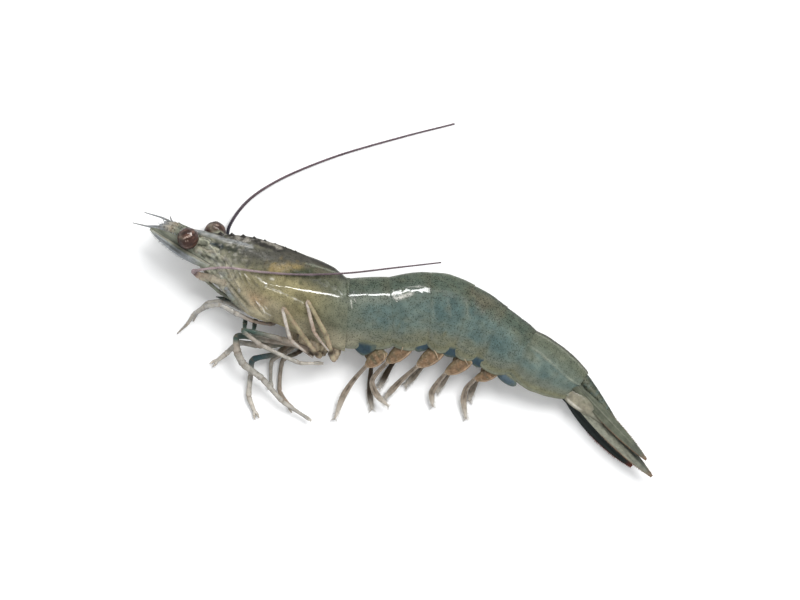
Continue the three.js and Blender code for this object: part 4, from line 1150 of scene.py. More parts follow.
def limb_rows(line, along, width, thickness, sides):
    """Rings of points round a limb, with its width level and its thickness upright."""
    across = unit(np.cross(UP, along))
    out = np.cross(along, across)
    angle = round_angles(sides)
    width, thickness = (np.broadcast_to(size, len(line))[:, None, None] for size in (width, thickness))
    wide = width * np.cos(angle)[None, :, None] * across[:, None]
    return line[:, None] + wide + thickness * np.sin(angle)[None, :, None] * out[:, None], angle


def colours_along(place, stops):
    """Colour at each place along a limb, between (place, colour) stops."""
    places = [stop for stop, _ in stops]
    colours = np.array([colour for _, colour in stops])
    return np.stack([np.interp(place, places, colours[:, k]) for k in range(3)], axis=-1)


def knuckles(place, joints):
    """How much a jointed limb swells just before each joint and draws in at it."""
    size = np.ones(len(place))
    for joint in range(1, joints - 1):
        size += 0.16 * hump(place, joint - 0.1, 0.09) + 0.1 * hump(place, joint + 0.13, 0.1)
        size -= 0.16 * hump(place, joint, 0.035)
    return size


def jointed_limb(surface, points, stops, sides=16, steps=22, straightness=0.55, specks=0.2, rim=LIMB_MOTTLE_AND_EDGE_SHADE,
                 slim=0.9):
    """A limb with swollen joints, a little flattened, with the rim colour in blotches and along its sides and
    underside, which with a dark rim is painted shade.
    """
    place, line, along = bent_line([point[:3] for point in points], steps, straightness)
    radius = along_joints([point[3] for point in points])(place) * knuckles(place, len(points)) * slim
    rows, angle = limb_rows(line, along, radius, radius * 0.88, sides)
    joint = sum(hump(place, number, 0.05) for number in range(1, len(points) - 1))
    paint = painted(
        colours_along(place, stops)[:, None, :],
        (smooth(ripple(rows, 2.4, 39), 0.3, 1.3) * 0.3, rim),
        # Sides and underside in the rim colour: painted shade where the rim is dark
        (np.abs(np.cos(angle)) ** 6 * 0.7, rim),
        (smooth(np.sin(angle), 0.1, -0.6) * 0.4, rim),
        (joint[:, None] * 0.5, LIMB_BROWN),
        *drawn(rows, HIP_SHADE_AND_GLINT_MARKS), specks=specks)
    surface.loft(settled(rows), paint)
    return line, along


def pincer(surface, points, colour, spread):
    """Two tapering fingers at the end of a leg."""
    tip, before = np.array(points[-1][:3]), np.array(points[-2][:3])
    along = unit((tip - before) * [1, 1, 0])
    root = tip - along * FINGER_RADIUS * 2
    for side in (-1, 1):
        heading = plane_turn(side * spread, 0, 1) @ along
        bowed = root + heading * FINGER_LENGTH * 0.55 + UP * 0.1
        end = root + (heading * 0.75 + along * 0.25) * FINGER_LENGTH
        finger = [(*root, FINGER_RADIUS * 1.3), (*bowed, FINGER_RADIUS), (*end, FINGER_RADIUS * 0.3)]
        stops = [(0, colour), (2, LIMB_WHITE)]
        jointed_limb(surface, finger, stops, sides=10, steps=8, straightness=0, slim=1.0)


# Painted shade in the hollows between the hips of the near legs, with a painted highlight
HIP_SHADE_AND_GLINT_MARKS = [
    ([(-4.1, -13.6), (-2.2, -13.1)], 0.9, SWIM_DARK, 1.0),
    ([(0.0, -12.2), (1.4, -10.7)], 1.0, SWIM_DARK, 1.0),
    ([(0.4, -12.4), (1.1, -11.9)], 0.16, PAINTED_HIGHLIGHT, 0.5),
]

# Colours along each leg as (joint, colour)
LEG_COLOURS = {
    "left": [
        [(0, COXA), (1, LIMB_BROWN), (1.8, LIMB_GREEN), (2.4, LIMB_BEIGE), (3, LIMB_BEIGE), (3.8, LIMB_PALE),
         (4.4, LIMB_PALE), (6, LIMB_WHITE)],
        [(0, COXA), (1, LIMB_PINK), (2, LIMB_BEIGE), (2.75, LIMB_GREEN), (3.2, LIMB_GREEN), (3.5, LIMB_BEIGE),
         (5, LIMB_PALE), (8, LIMB_PALE)],
        [(0, COXA), (1, LIMB_PINK), (2, LIMB_BEIGE), (2.6, LIMB_GREEN), (3.1, LIMB_GREEN), (3.5, LIMB_BEIGE),
         (4.6, LIMB_PALE), (6, LIMB_WHITE)],
        [(0, COXA), (1, COXA), (2, COXA), (3, LIMB_OLIVE), (3.9, LIMB_OLIVE), (4.05, LIMB_WHITE),
         (5, LIMB_PALE), (6, LIMB_PALE)],
        [(0, COXA), (1, COXA), (2, COXA), (3, LIMB_OLIVE), (3.9, LIMB_OLIVE), (4.05, LIMB_WHITE),
         (5, LIMB_PINK), (6, LIMB_PALE)],
    ],
    # The far legs darken near their hips: painted shade where they lie under the body
    "right": [
        [(0, COXA), (1, SWIM_DARK), (1.8, LIMB_BROWN), (2.6, LIMB_BLUE), (3.2, LIMB_BLUE), (3.8, LIMB_PALE),
         (6, LIMB_WHITE)],
        [(0, COXA), (1, SWIM_DARK), (2, LIMB_BEIGE), (4, LIMB_PALE)],
        [(0, COXA), (1, SWIM_DARK), (2, SWIM_DARK), (3, LIMB_BEIGE), (5, LIMB_PINK)],
        [(0, COXA), (1, SWIM_DARK), (3, LIMB_PALE)],
        [(0, COXA), (1, SWIM_DARK), (3, LIMB_PALE)],
    ],
}
FOLDED_LEGS = (3, 4)


def legs():
    """Walking legs, of which the first three of each side end in pincers."""
    for side in SIDES:
        for index, points in enumerate(LEGS[side]):
            leg = Surface()
            stops = LEG_COLOURS[side][index]
            folded = side == "left" and index in FOLDED_LEGS
            jointed_limb(leg, points, stops, rim=PINK if folded else LIMB_MOTTLE_AND_EDGE_SHADE, slim=0.74 if folded else 0.85)
            if index < PINCER_LEGS:
                shut = side == "left" and index > 0
                pincer(leg, points, stops[-1][1], FINGER_SPREAD * (0.3 if shut else 1))
            piece(f"walking_leg_{side}_{index + 1}", leg, LIMB, "limb", f"leg_{side}_{index + 1}")


# Fine hair stays this far above the surface.
HAIR_HEIGHT = 0.1
HAIR_RADIUS = 0.035


def bristles(surface, line, along, side, length, count, seed, colour, radius=HAIR_RADIUS):
    """A row of fine bristles along one side of a limb, leaning towards its tip."""
    rng = np.random.default_rng(seed)
    at = rng.uniform(0, len(line) - 1, count)
    low = np.floor(at).astype(int).clip(0, len(line) - 2)
    share = (at - low)[:, None]
    roots = line[low] * (1 - share) + line[low + 1] * share
    across = np.cross(UP, along[low])
    reach = length * rng.uniform(0.6, 1.1, (count, 1))
    lift = UP * rng.uniform(-0.1, 0.1, (count, 1))
    tips = roots + reach * (side * across * 0.75 + along[low] * 0.65 + lift)
    tips[:, 2] = np.maximum(tips[:, 2], HAIR_HEIGHT)
    surface.hairs(roots, tips, radius, painted(colour))


def maxillipeds():
    """Leg-like limbs beside the mouth, stretched forward, with fine bristles on both edges."""
    stops = [(0, LIMB_PINK), (2, LIMB_PINK), (3, LIMB_PALE), (6, LIMB_PALE), (7, LIMB_BEIGE), (8, LIMB_BEIGE)]
    for number, side in enumerate(SIDES):
        limb = Surface()
        points = [(x, y, z, r * (0.6 if i < 3 else 0.95)) for i, (x, y, z, r) in enumerate(MAXILLIPEDS[side])]
        line, along = jointed_limb(limb, points, stops, rim=SCALE_PALE, slim=0.72)
        third = len(line) // 3
        for seed, edge in ((40, 1), (50, -1)):
            bristles(limb, line[third:], along[third:], edge, length=1.0, count=120, seed=seed + number,
                     colour=LIMB_PALE, radius=0.02)
        piece(f"feeding_limb_{side}", limb, LIMB, "limb", f"maxilliped_{side}")


def far_hip(index):
    """Where a far swimming limb leaves the belly of its ring."""
    place = index + FAR_HIP_PLACE
    axis, heading = ring_axis(JOINTS, index, FAR_HIP_PLACE)
    back, left = trunk_ways(heading, ring_roll(place))
    drop = RING_SIZES[2](place) - RING_SIZES[1](place) - FAR_HIP_DROP
    return np.array([*axis, ring_height(place)]) + drop * back - FAR_HIP_ASIDE * left


# Half widths of a swimming limb's foot, as a share of its greatest, and of its blade, by part of the length
SWIM_FOOT_SWELL = through([(0, 0.7), (0.12, 0.9), (0.36, 1.02), (0.64, 0.92), (0.85, 0.64), (1, 0.3)])
SWIM_BLADE_HALF = through([(0, 0.55), (0.2, 0.62), (0.65, 0.85), (0.86, 0.6), (1, 0.12)])
DARK_BLADES = 2


def swim_foot(limb, index, hip, knee, half):
    """A leaf-like foot from hip to knee, with a raised pale edge."""
    middle = (hip + knee) / 2 + np.array([0.2, -0.2, 0.2])
    place, line, along = bent_line([hip, middle, knee], 30, 0)
    t = (place / place[-1])[:, None]
    swell = half * SWIM_FOOT_SWELL(t[:, 0])
    rows, angle = limb_rows(line, along, swell, 0.4 * swell, 40)
    wide = np.cos(angle)
    bump = (0.22 * hump(wide, 0.74, 0.1) - 0.15 * hump(wide, 0.45, 0.15)) * (np.sin(angle) > 0)
    bump = bump + 0.07 * ripple(rows, 1.3, 60 + index)
    rows = rows + (bump * np.sin(math.pi * t))[..., None] * UP
    limb.loft(settled(rows), painted(
        SWIM_BROWN,
        (smooth(wide, -0.1, -0.7) * 0.6, SWIM_OLIVE),
        (smooth(t, 0.35, 0.0) * 0.6, SHELL_OLIVE),
        (0.4 * ripple(rows, 1.7, 63), SWIM_OLIVE),
        (0.25 * smooth(ripple(rows, 0.9, 64), 0.5, 1.5), SWIM_EDGE),
        (0.14 * ripple(rows, 1.2, 61), SWIM_DARK),
        (hump(wide, 0.86, 0.06) * 0.8, SWIM_EDGE),
        (hump(wide, -0.97, 0.08) * 0.5, SWIM_DARK),
        (hump(t, 0.97, 0.05) * 0.45, SWIM_EDGE),
        specks=0.35, film=0.3))


def hip_rim(limb, start, end):
    """A thin pale rim across the hip of a near swimming limb."""
    start, end = np.array(start), np.array(end)
    middle = (start + end) / 2 + np.array([0.25, 0, 0.1])
    points = [(*start, 0.05), (*middle, 0.11), (*end, 0.05)]
    stops = [(0, SWIM_EDGE), (2, SWIM_EDGE)]
    jointed_limb(limb, points, stops, sides=8, steps=10, straightness=0, slim=1.0)


def swim_blade(limb, index, near, points):
    """A long ribbed blade with hair along the edges of its lower half."""
    place, line, along = bent_line(points, 24, 0.1)
    t = (place / place[-1])[:, None]
    rows, angle = limb_rows(line, along, SWIM_BLADE_HALF(t[:, 0]), 0.42 - 0.22 * t[:, 0], 26)
    rib = hump(np.cos(angle), 0.0, 0.22)
    rows = rows + (0.12 * rib * (np.sin(angle) > 0) * smooth(t, 1, 0.6))[..., None] * UP
    dark = rib * smooth(t, 0.9, 0.45) + 0.3 * ripple(rows, 1.5, 62)
    base, shade = SWIM_BLADE if near else SWIM_FAR, 0.6
    if not near and index < DARK_BLADES:
        base, shade = SWIM_DARK, 0.9
    limb.loft(settled(rows), painted(
        base,
        (dark * shade, SWIM_DARK),
        (smooth(t, 0.6, 1) * 0.75, LIMB_WHITE),
        (smooth(np.abs(np.cos(angle)), 0.8, 0.98) * 0.6, LIMB_PALE),
        specks=0.25))
    half = len(line) // 2
    for edge in (-1, 1):
        bristles(limb, line[half:], along[half:], edge, length=1.9, count=150, seed=70 + index + 10 * edge,
                 colour=LIMB_WHITE)


def swimmerets():
    """Stout feet under the belly, each with a long blade that is fringed with hair."""
    for side in SIDES:
        near = side == "left"
        for index, blade in enumerate(SWIM_BLADES[side]):
            hip, knee, half = NEAR_FEET[index] if near else (far_hip(index), FAR_KNEES[index], FAR_FOOT_HALF)
            hip, knee = np.array(hip, float), np.array(knee, float)
            limb = Surface()
            swim_foot(limb, index, hip, knee, half)
            if near:
                hip_rim(limb, *HIP_RIMS[index])
            swim_blade(limb, index, near, [knee + UP * 0.2, *blade])
            piece(f"swimming_limb_{side}_{index + 1}", limb, LIMB, "swimmer", f"swimmeret_{side}_{index + 1}")


# Painted highlights on the near and the far eye, with pale tan patches and painted shade beside the near eye
EYE_MARKS = {
    "left": [
        ([(-47.7, 0.1), (-46.9, 1.1), (-46.0, 1.7), (-46.2, 2.6)], 0.12, PAINTED_EYE_GLINT, 0.9),
        ([(-46.6, 1.3), (-45.9, 2.3)], 0.12, PAINTED_EYE_GLINT, 0.8),
        ([(-47.8, -0.8), (-47.0, -1.3)], 0.13, PAINTED_EYE_GLINT, 0.7),
        ([(-46.7, -0.1), (-46.0, 0.4)], 0.1, PAINTED_EYE_GLINT, 0.6),
        ([(-46.5, -1.8), (-45.5, -1.7)], 0.12, PAINTED_EYE_GLINT, 0.5),
        ([(-43.9, -0.3), (-43.5, 0.6)], 0.12, PAINTED_EYE_GLINT, 0.4),
        ([(-48.7, 0.3), (-48.2, 0.2)], 0.7, SCALE_TAN, 0.3),
        ([(-43.4, 2.0), (-42.4, 1.7), (-41.4, 1.3)], 0.9, SCALE_DARK, 0.65),
    ],
    "right": [
        ([(-42.6, 5.8), (-41.9, 6.5), (-41.0, 6.5)], 0.13, PAINTED_EYE_GLINT, 0.7),
        ([(-41.9, 7.4), (-40.9, 7.5), (-40.2, 8.0)], 0.14, PAINTED_EYE_GLINT, 0.7),
        ([(-40.6, 6.6), (-39.5, 6.8)], 0.12, PAINTED_EYE_GLINT, 0.6),
        ([(-42.8, 6.6), (-42.5, 7.2)], 0.12, PAINTED_EYE_GLINT, 0.5),
        ([(-43.2, 6.6), (-42.0, 5.6)], 0.7, SCALE_TAN, 0.35),
    ],
}


def eyes():
    """Dark balls on short pale stalks."""
    for side in SIDES:
        centre, root = (np.array(EYES[side][key], float) for key in ("centre", "root"))
        axis = unit(centre - root)
        across = unit(np.cross(UP, axis))
        reach = np.linalg.norm(centre - root)
        ball = np.linspace(math.pi * 0.84, 0.02, 46)
        swollen = EYE_RADIUS * 1.06
        stalk = np.linspace(0, reach - EYE_RADIUS * 0.95, 14)
        bead = STALK_RADIUS * (0.55 + 0.15 * np.sin(np.linspace(0, math.pi, len(stalk))))
        distance = np.concatenate([stalk, reach + swollen * np.cos(ball)])[:, None]
        radius = np.concatenate([bead, swollen * np.sin(ball)])[:, None]
        angle = round_angles(48)[:, None]
        spoke = np.cos(angle) * across + np.sin(angle) * np.cross(axis, across)
        rows = root + distance[..., None] * axis + radius[..., None] * spoke
        rows = rows + (0.03 * ripple(rows, 1.3, 8) + 0.015 * ripple(rows, 0.6, 7))[..., None] * spoke
        corneal = smooth(distance, reach - EYE_RADIUS * 0.85, reach - EYE_RADIUS * 0.6)
        blotch = smooth(ripple(rows, 1.8, 9), 0.2, 1.4)
        made = Surface()
        made.loft(settled(rows), painted(
            HEAD_FRONT,
            (corneal, EYE_BROWN),
            (corneal * blotch, EYE_RED),
            *drawn(rows, EYE_MARKS[side]),
            ((0.1 + 0.2 * ripple(rows, 1.0, 10)) * (1 - corneal), SCALE_DARK),
            specks=0.35 * corneal, film=0.1 + 0.25 * corneal))
        piece(f"stalked_eye_{side}", made, EYE, "eye", f"eye_{side}")


def antennae():
    """Stout feet and long ringed whips."""
    for side in SIDES:
        points = ANTENNAE[side]
        place, line, along = bent_line([point[:3] for point in points], 60, 0)
        walked = np.concatenate([[0], np.cumsum(np.linalg.norm(np.diff(line, axis=0), axis=1))])
        lash = smooth(place, 2.2, 3)
        ringed = np.sin(2 * math.pi * walked / ANNULUS)
        radius = along_joints([point[3] for point in points])(place) * (1 - 0.32 * smooth(place, 1.9, 1.6))
        radius = radius * (1 + lash * 0.09 * ringed)
        radius = radius * (1 - 0.2 * hump(place, 1, 0.06) - 0.25 * hump(place, 1.8, 0.1) - 0.2 * lash)
        rows, _ = limb_rows(line, along, radius, radius, 12)
        start = WHIP_PINK if side == "left" else WHIP_BLUE
        stops = [(0, HEAD_FRONT), (0.7, SCALE_TAN), (1.3, LIMB_PINK), (1.7, WHIP_MAUVE), (2.2, start),
                 (4.5, start), (6.5, WHIP_MAUVE), (len(points) - 1, WHIP_MAUVE)]
        whip = Surface()
        whip.loft(settled(rows), painted(
            colours_along(place, stops)[:, None, :],
            (((0.5 + 0.5 * ringed) * lash)[:, None] * 0.25, WHIP_BLUE),
            (0.35 * ripple(rows, 1.4, 92) * smooth(place, 2.2, 1.8)[:, None], LIMB_BROWN),
            specks=0.2))
        piece(f"long_antenna_{side}", whip, WHIP, "whip", f"antenna_{side}")


def antennules():
    """Stout feet with two short whips and a fringe of hair, beside the eyes."""
    foot_stops = [(0, SCALE_TAN), (0.6, SCALE_GREEN), (1, SCALE_TAN), (1.2, SCALE_GREEN), (1.7, SCALE_GREEN),
                  (2, SCALE_TAN), (3, SCALE_PALE)]
    whip_stops = [(0, SCALE_GREEN), (1, SCALE_PALE), (2, SCALE_PALE)]
    for number, side in enumerate(SIDES):
        limb = Surface()
        foot = [(x, y, z, r * 1.4) for x, y, z, r in ANTENNULES[side]["foot"]]
        x, y, z, _ = foot[-1]
        foot.append((x - 3.2, y - 0.5, z + 0.1, 0.5))
        line, along = jointed_limb(limb, foot, foot_stops, sides=20, steps=26, straightness=0.2, specks=0.6,
                                   rim=SCALE_DARK, slim=1.0)
        for edge in (-1, 1):
            bristles(limb, line, along, edge, length=2.2, count=120, seed=90 + number + 5 * edge,
                     colour=SCALE_PALE)
        for points in ANTENNULES[side]["whips"]:
            jointed_limb(limb, points, whip_stops, sides=10, steps=30, straightness=0, slim=0.7)
        piece(f"short_antenna_{side}", limb, LIMB, "limb", f"antennule_{side}")


# Soft parts about the mouth, as limbs of (x, y, height, radius) with their colours
MOUTH_PARTS = [
    ([(-40.1, -6.6, 10.8, 0.6), (-36.7, -6.2, 11.0, 1.1), (-32.8, -5.6, 11.0, 1.4), (-28.5, -5.4, 10.4, 1.3)],
     [(0, LIMB_PINK), (1, SCALE_TAN), (2, SCALE_TAN), (3, HEAD_FRONT)]),
    ([(-39.8, -6.8, 10.4, 0.45), (-36.3, -7.8, 9.6, 0.45), (-33, -8.7, 9, 0.5), (-28.5, -9, 8.4, 0.6)],
     [(0, SCALE_TAN), (1, SCALE_GREEN), (3, SCALE_GREEN)]),
    ([(-28.6, -8.9, 7.8, 0.7), (-31.2, -9.8, 7.4, 0.55), (-33.5, -10.3, 7, 0.12)],
     [(0, SCALE_DARK), (2, DARK_TIPS_AND_SLOT_SHADE)]),
    ([(-28.8, -8.4, 7.4, 0.6), (-31, -8.8, 7.2, 0.45), (-33, -9.2, 7, 0.12)],
     [(0, SCALE_DARK), (2, DARK_TIPS_AND_SLOT_SHADE)]),
    ([(-33.4, -4.4, 11.2, 0.6), (-31.3, -7.3, 11.1, 0.8), (-28.3, -9.1, 10.9, 0.75),
      (-24.5, -10.2, 10.5, 0.6), (-20.9, -10.4, 10, 0.4)],
     [(0, HEAD_FRONT), (1, SCALE_PALE), (2, SCALE_GREEN), (4, LIMB_PINK)]),
    ([(-23.9, -12.1, 7, 0.65), (-23.4, -13.6, 7.3, 0.6), (-22.9, -15, 7.2, 0.5)],
     [(0, SCALE_DARK), (2, LIMB_GREEN)]),
    ([(-21.4, -11.4, 7, 0.65), (-20.9, -12.9, 7.3, 0.6), (-20.5, -14.3, 7.2, 0.5)],
     [(0, SCALE_DARK), (2, LIMB_GREEN)]),
]

# Front of the head under the rostrum as (distance forward of the neck, size)
FRONT_BACK = [(29, 7.2), (33, 6.4), (37, 5.2), (40, 4.2), (44, 3.0), (47, 1.4)]
FRONT_HEM = [(29, 6.9), (31, 6.8), (33, 6.4), (36, 5.7), (39.5, 4.3), (42, 2.5), (44.5, 0.9), (47, -0.4)]
FRONT_LIP = [(29, 0.6), (47, 0.2)]
FRONT_HALF = [(29, 6.6), (33, 5.9), (36, 5.3), (39, 4.9), (42, 4.5), (44.5, 3.6), (47, 0.6)]


def head_front():
    """The soft front of the head between the eyes and the antennae, with the parts about the mouth."""
    made = Surface()
    forward = np.linspace(47, 29, 74)
    sizes = [through(profile)(forward) for profile in (FRONT_BACK, FRONT_HEM, FRONT_LIP, FRONT_HALF)]
    centre = np.stack([-forward, 0 * forward, np.full(len(forward), CARAPACE_HEIGHT)], axis=1)
    rows = trunk_rows(centre, 0 * forward, CARAPACE_ROLL, trunk_outline(*sizes))
    folds = ripple(rows * [0.4, 1, 1], 1.9, 33)
    fine = ripple(rows * [0.5, 1, 1], 0.9, 34)
    slot = hump(GIRTH, 0.26, 0.03) * within(forward, 36.5, 38.5, 41.6, 42.8)[:, None]
    rows = raised(rows, smooth(forward, 47, 44)[:, None] * (0.16 * folds + 0.06 * fine) - 0.35 * slot)
    made.loft(settled(rows), painted(
        HEAD_FRONT,
        (0.35 * ripple(rows * [0.3, 1, 1], 1.2, 35), SCALE_DARK),
        (0.45 * smooth(folds, 0.2, 1.2), SCALE_TAN),
        (0.3 * smooth(ripple(rows, 3, 37), 0.2, 1.2), ROSTRUM_PALE),
        (0.35 * smooth(fine, 0.6, 1.6), LIMB_PALE),
        (0.35 * smooth(-fine, 0.6, 1.6), SCALE_DARK),
        *drawn(rows, HEAD_MARKS, True), specks=0.4, film=0.06))
    for points, stops in MOUTH_PARTS:
        jointed_limb(made, points, stops, sides=14, steps=18, straightness=0.1, specks=0.3, rim=SCALE_GREEN,
                     slim=1.0)
    piece("head_front", made, SHELL, "head_shell")


# Blades


def turned(turns):
    """Matrix that tilts a blade about its length, slopes it up and heads it round, given in degrees."""
    heading, slope, tilt = (math.radians(turn) for turn in turns)
    return plane_turn(heading, 0, 1) @ plane_turn(slope, 0, 2) @ plane_turn(tilt, 1, 2)


def fan_place(points):
    """Points given from the last joint along the tail fan, set in the whole."""
    axis, heading = JOINTS[-1]
    return points @ plane_turn(heading + FAN_BEND, 0, 1).T + np.array([*axis, ABDOMEN_HEIGHT[-1]])


def blade_spread(t):
    """Half width of a blade along its length, as a share of its greatest."""
    return np.sin(math.pi * np.clip(0.14 + 0.835 * t, 0.02, 1)) ** 0.72


def blade_rows(length, width, ribs, root=0.0):
    """A ribbed blade along X with its root drawn back. Also its place along and its place across, -1 to 1."""
    t = np.linspace(-root / length, 1, 90)[:, None]
    angle = round_angles(64)[None, :]
    half = np.maximum(width / 2 * blade_spread(t), BLADE_BASE[0] * (1 - np.maximum(t, 0)) ** 2)
    past = np.clip(3 * t, 0, 1)
    thick = (BLADE_BASE[1] + (BLADE_THICKNESS / 2 - BLADE_BASE[1]) * past) * (1 - 0.5 * t)
    across, side = np.cos(angle), np.sign(np.sin(angle))
    face = side * np.abs(np.sin(angle)) ** 0.8
    ridge = sum(height * hump(across, middle, 0.1) for middle, height in ribs) * side
    rise = thick * face * 0.8 + ridge * within(t, 0, 0.1, 0.8, 1.0)
    return np.stack(np.broadcast_arrays(t * length, half * across, rise), axis=-1), t, across


def set_blade(points, sizes, on_fan):
    """Points of a blade turned and moved to its base, which on the fan is given from the last joint."""
    points = points @ turned(sizes["turns"]).T + np.array(sizes["at"], float)
    return fan_place(points) if on_fan else points


def fringe(surface, place, sizes, start, hair, count, seed, colour):
    """Fine hair along the rim of a blade, from a share of its length round the tip."""
    rng = np.random.default_rng(seed)
    t = rng.uniform(start, 1, count)
    side = rng.choice([-1.0, 1.0], count)
    edge = side * sizes["width"] / 2 * blade_spread(t) * 0.97
    roots = np.stack([t * sizes["length"], edge, 0 * t], axis=1)
    lean = smooth(t, 0.8, 1.0)
    reach = hair * rng.uniform(0.6, 1.1, count)
    ahead, aside = reach * (0.5 + 0.4 * lean), side * reach * (0.8 - 0.5 * lean)
    tips = place(roots + np.stack([ahead, aside, 0.05 * reach], axis=1))
    tips[:, 2] = np.maximum(tips[:, 2], HAIR_HEIGHT)
    surface.hairs(place(roots), tips, HAIR_RADIUS, painted(colour))


def scales():
    """Long pale blades beside the mouth."""
    for number, side in enumerate(SIDES):
        sizes = SCALES[side]
        place = partial(set_blade, sizes=sizes, on_fan=False)
        outer = 1 if side == "left" else -1
        ribs = [(0.75 * outer, 0.2), (0.1 * outer, 0.12)]
        rows, t, across = blade_rows(sizes["length"], sizes["width"], ribs)
        out = across * outer
        paint = painted(
            SCALE_GREEN,
            (smooth(t, 0.5, 0.9) * smooth(out, 0.5, 0.2) * 0.45, SCALE_DARK),
            (smooth(out, 0.3, 0.5) * within(t, 0.02, 0.35, 0.85, 1.0), SCALE_PALE),
            (hump(out, 0.16, 0.06) * 0.7, SCALE_TAN),
            (hump(out, 0.02, 0.07) * 0.8, SCALE_DARK),
            (0.25 * ripple(rows * [0.3, 1, 1], 1.6, 63), SCALE_DARK),
            specks=0.2)
        blade = Surface()
        blade.loft(settled(place(rows)), paint)
        fringe(blade, place, sizes, start=0.35, hair=1.0, count=220, seed=120 + number, colour=SCALE_PALE)
        piece(f"mouth_scale_{side}", blade, FAN, "limb", f"antennal_scale_{side}")


# Colours of each blade of the fan: root, middle, the half towards the back, rim, rib and outer part
FAN_COLOURS = {
    "exopod_left": (FAN_PALE, FAN_PALE, FAN_GREY, FAN_TAN, FAN_PALE, FAN_GREY),
    "endopod_left": (FAN_OLIVE, FAN_GREEN, FAN_GREEN, FAN_TAN, FAN_PALE, FAN_GREY),
    # The far outer blade is dark from its pigment and partly as painted shade on its inner face
    "exopod_right": (FAN_DARK, FAN_DARK, FAN_DARK, FAN_RED, FAN_GREY, FAN_DARK),
    "endopod_right": (FAN_GREEN, FAN_DARK, FAN_DARK, FAN_RED, FAN_GREY, FAN_DARK),
}
FAN_ROOT = 2.2
FAN_RIBS = [(0.0, 0.14), (0.5, 0.08), (-0.5, 0.08)]

# Foot of the near outer blade, from the last joint as (along the fan, towards the back, up, half width)
FAN_FOOT = [(-1.6, -2.6, 1.7, 1.9), (1.8, -2.4, 2.7, 2.25), (5.4, -2.0, 3.0, 1.9), (8.4, -1.8, 2.7, 1.1),
            (11.6, -1.9, 2.0, 0.4)]


def tail_fan():
    """Four ribbed blades with coloured rims, and the spike between them."""
    for number, (name, sizes) in enumerate(UROPODS.items()):
        place = partial(set_blade, sizes=sizes, on_fan=True)
        rows, t, across = blade_rows(sizes["length"], sizes["width"], FAN_RIBS, FAN_ROOT)
        root, middle, back_half, rim, rib, outer = FAN_COLOURS[name]
        paint = painted(
            root,
            (smooth(t, 0.25, 0.6), middle),
            (smooth(across, 0.0, 0.14), back_half),
            (hump(across, -0.02, 0.06) * 0.5 * smooth(t, 0.9, 0.6), rib),
            (0.15 * ripple(rows * [0.12, 1, 1], 0.9, 64), FAN_DARK),
            (smooth(t, 0.7, 0.85) * 0.55, outer),
            (smooth(np.abs(across), 0.86, 1.0) * smooth(t, 0.3, 0.6) * 0.85, rim),
            (smooth(t, 0.9, 1.0) * 0.8, rim),
            specks=0.18, film=0.25)
        blade = Surface()
        blade.loft(settled(place(rows)), paint)
        fringe(blade, place, sizes, start=0.4, hair=0.6, count=260, seed=140 + number, colour=rim)
        if name == "exopod_left":
            fan_foot(blade)
        piece(f"fan_{name}", blade, FAN, "tail_fan", f"uropod_{name}")
    telson()


def fan_foot(surface):
    """The pale stout foot that carries the near outer blade, with a painted highlight along one edge."""
    points = fan_place(np.array(FAN_FOOT)[:, :3])
    place, line, along = bent_line(points, 20, 0)
    width = along_joints([point[3] for point in FAN_FOOT])(place)
    rows, angle = limb_rows(line, along, width, width * 0.55, 30)
    t = (place / place[-1])[:, None]
    belly_side, above = np.cos(angle), np.sin(angle) > 0
    ridge = hump(belly_side, -0.55, 0.16) * above * np.sin(math.pi * t)
    rows = rows + (0.3 * ridge)[..., None] * UP
    # A white streak along the edge: a painted highlight
    painted_streak = hump(belly_side, -0.72, 0.12) * above * within(t, 0.1, 0.2, 0.4, 0.5)
    surface.loft(settled(rows), painted(
        FAN_FOOT_TAN,
        (0.15 * ripple(rows, 2, 65), FAN_OLIVE),
        (0.1 * ripple(rows, 1.1, 67), FAN_PALE),
        (smooth(belly_side, 0.1, 0.9) * 0.5, FAN_OLIVE),
        (painted_streak, FAN_PAINTED_HIGHLIGHT),
        (smooth(t, 0.55, 0.75) * 0.7, FAN_PALE),
        (spot(t, belly_side, (0.42, 0.3), (0.035, 0.16)) * 0.8, FAN_OLIVE),
        specks=0.15, film=0.12))


def telson():
    """The pointed middle of the tail fan, with a groove along its ridge."""
    t = np.linspace(-FAN_ROOT / TELSON["length"], 1, 60)[:, None]
    angle = round_angles(56)[None, :]
    back, left = np.cos(angle), np.sin(angle)
    size = 1 - 0.9 * np.maximum(t, 0) ** 1.4
    depth = TELSON["depth"] * np.where(back > 0, 0.6, 0.4)
    groove = 0.2 * hump(left, 0.0, 0.12) * (back > 0) * smooth(t, 0.0, 0.15)
    ways = (t * TELSON["length"], (depth * back - groove) * size, TELSON["width"] / 2 * size * left)
    rows = set_blade(np.stack(np.broadcast_arrays(*ways), axis=-1), TELSON, on_fan=True)
    paint = painted(
        FAN_GREEN,
        (smooth(back, 0.4, 0.9) * 0.7, FAN_DARK),
        (0.4 * ripple(rows, 2, 66), SHELL_BLUE),
        (hump(back, 0.25, 0.2) * (1 - t) * 0.4, FAN_PALE),
        (smooth(t, 0.85, 1) * 0.8, FAN_TAN),
        specks=0.6, film=0.2)
    made = Surface()
    made.loft(settled(rows), paint)
    piece("fan_middle", made, FAN, "tail_fan", "telson")


# Underside


def blob(surface, centre, axes, colour, seed):
    """A soft uneven bulge with the given half axes as rows."""
    ball = globe(26, 36)
    rows = np.array(centre) + (ball * (1 + 0.06 * ripple(ball, 0.8, seed))[..., None]) @ np.array(axes, float)
    uneven = 0.35 * ripple(rows, 2.2, seed + 1)
    surface.loft(settled(rows), painted(
        colour,
        (uneven, MEMBRANE),
        (-0.7 * uneven, LIMB_PINK),
        *drawn(rows, HIP_SHADE_AND_GLINT_MARKS), specks=0.3))


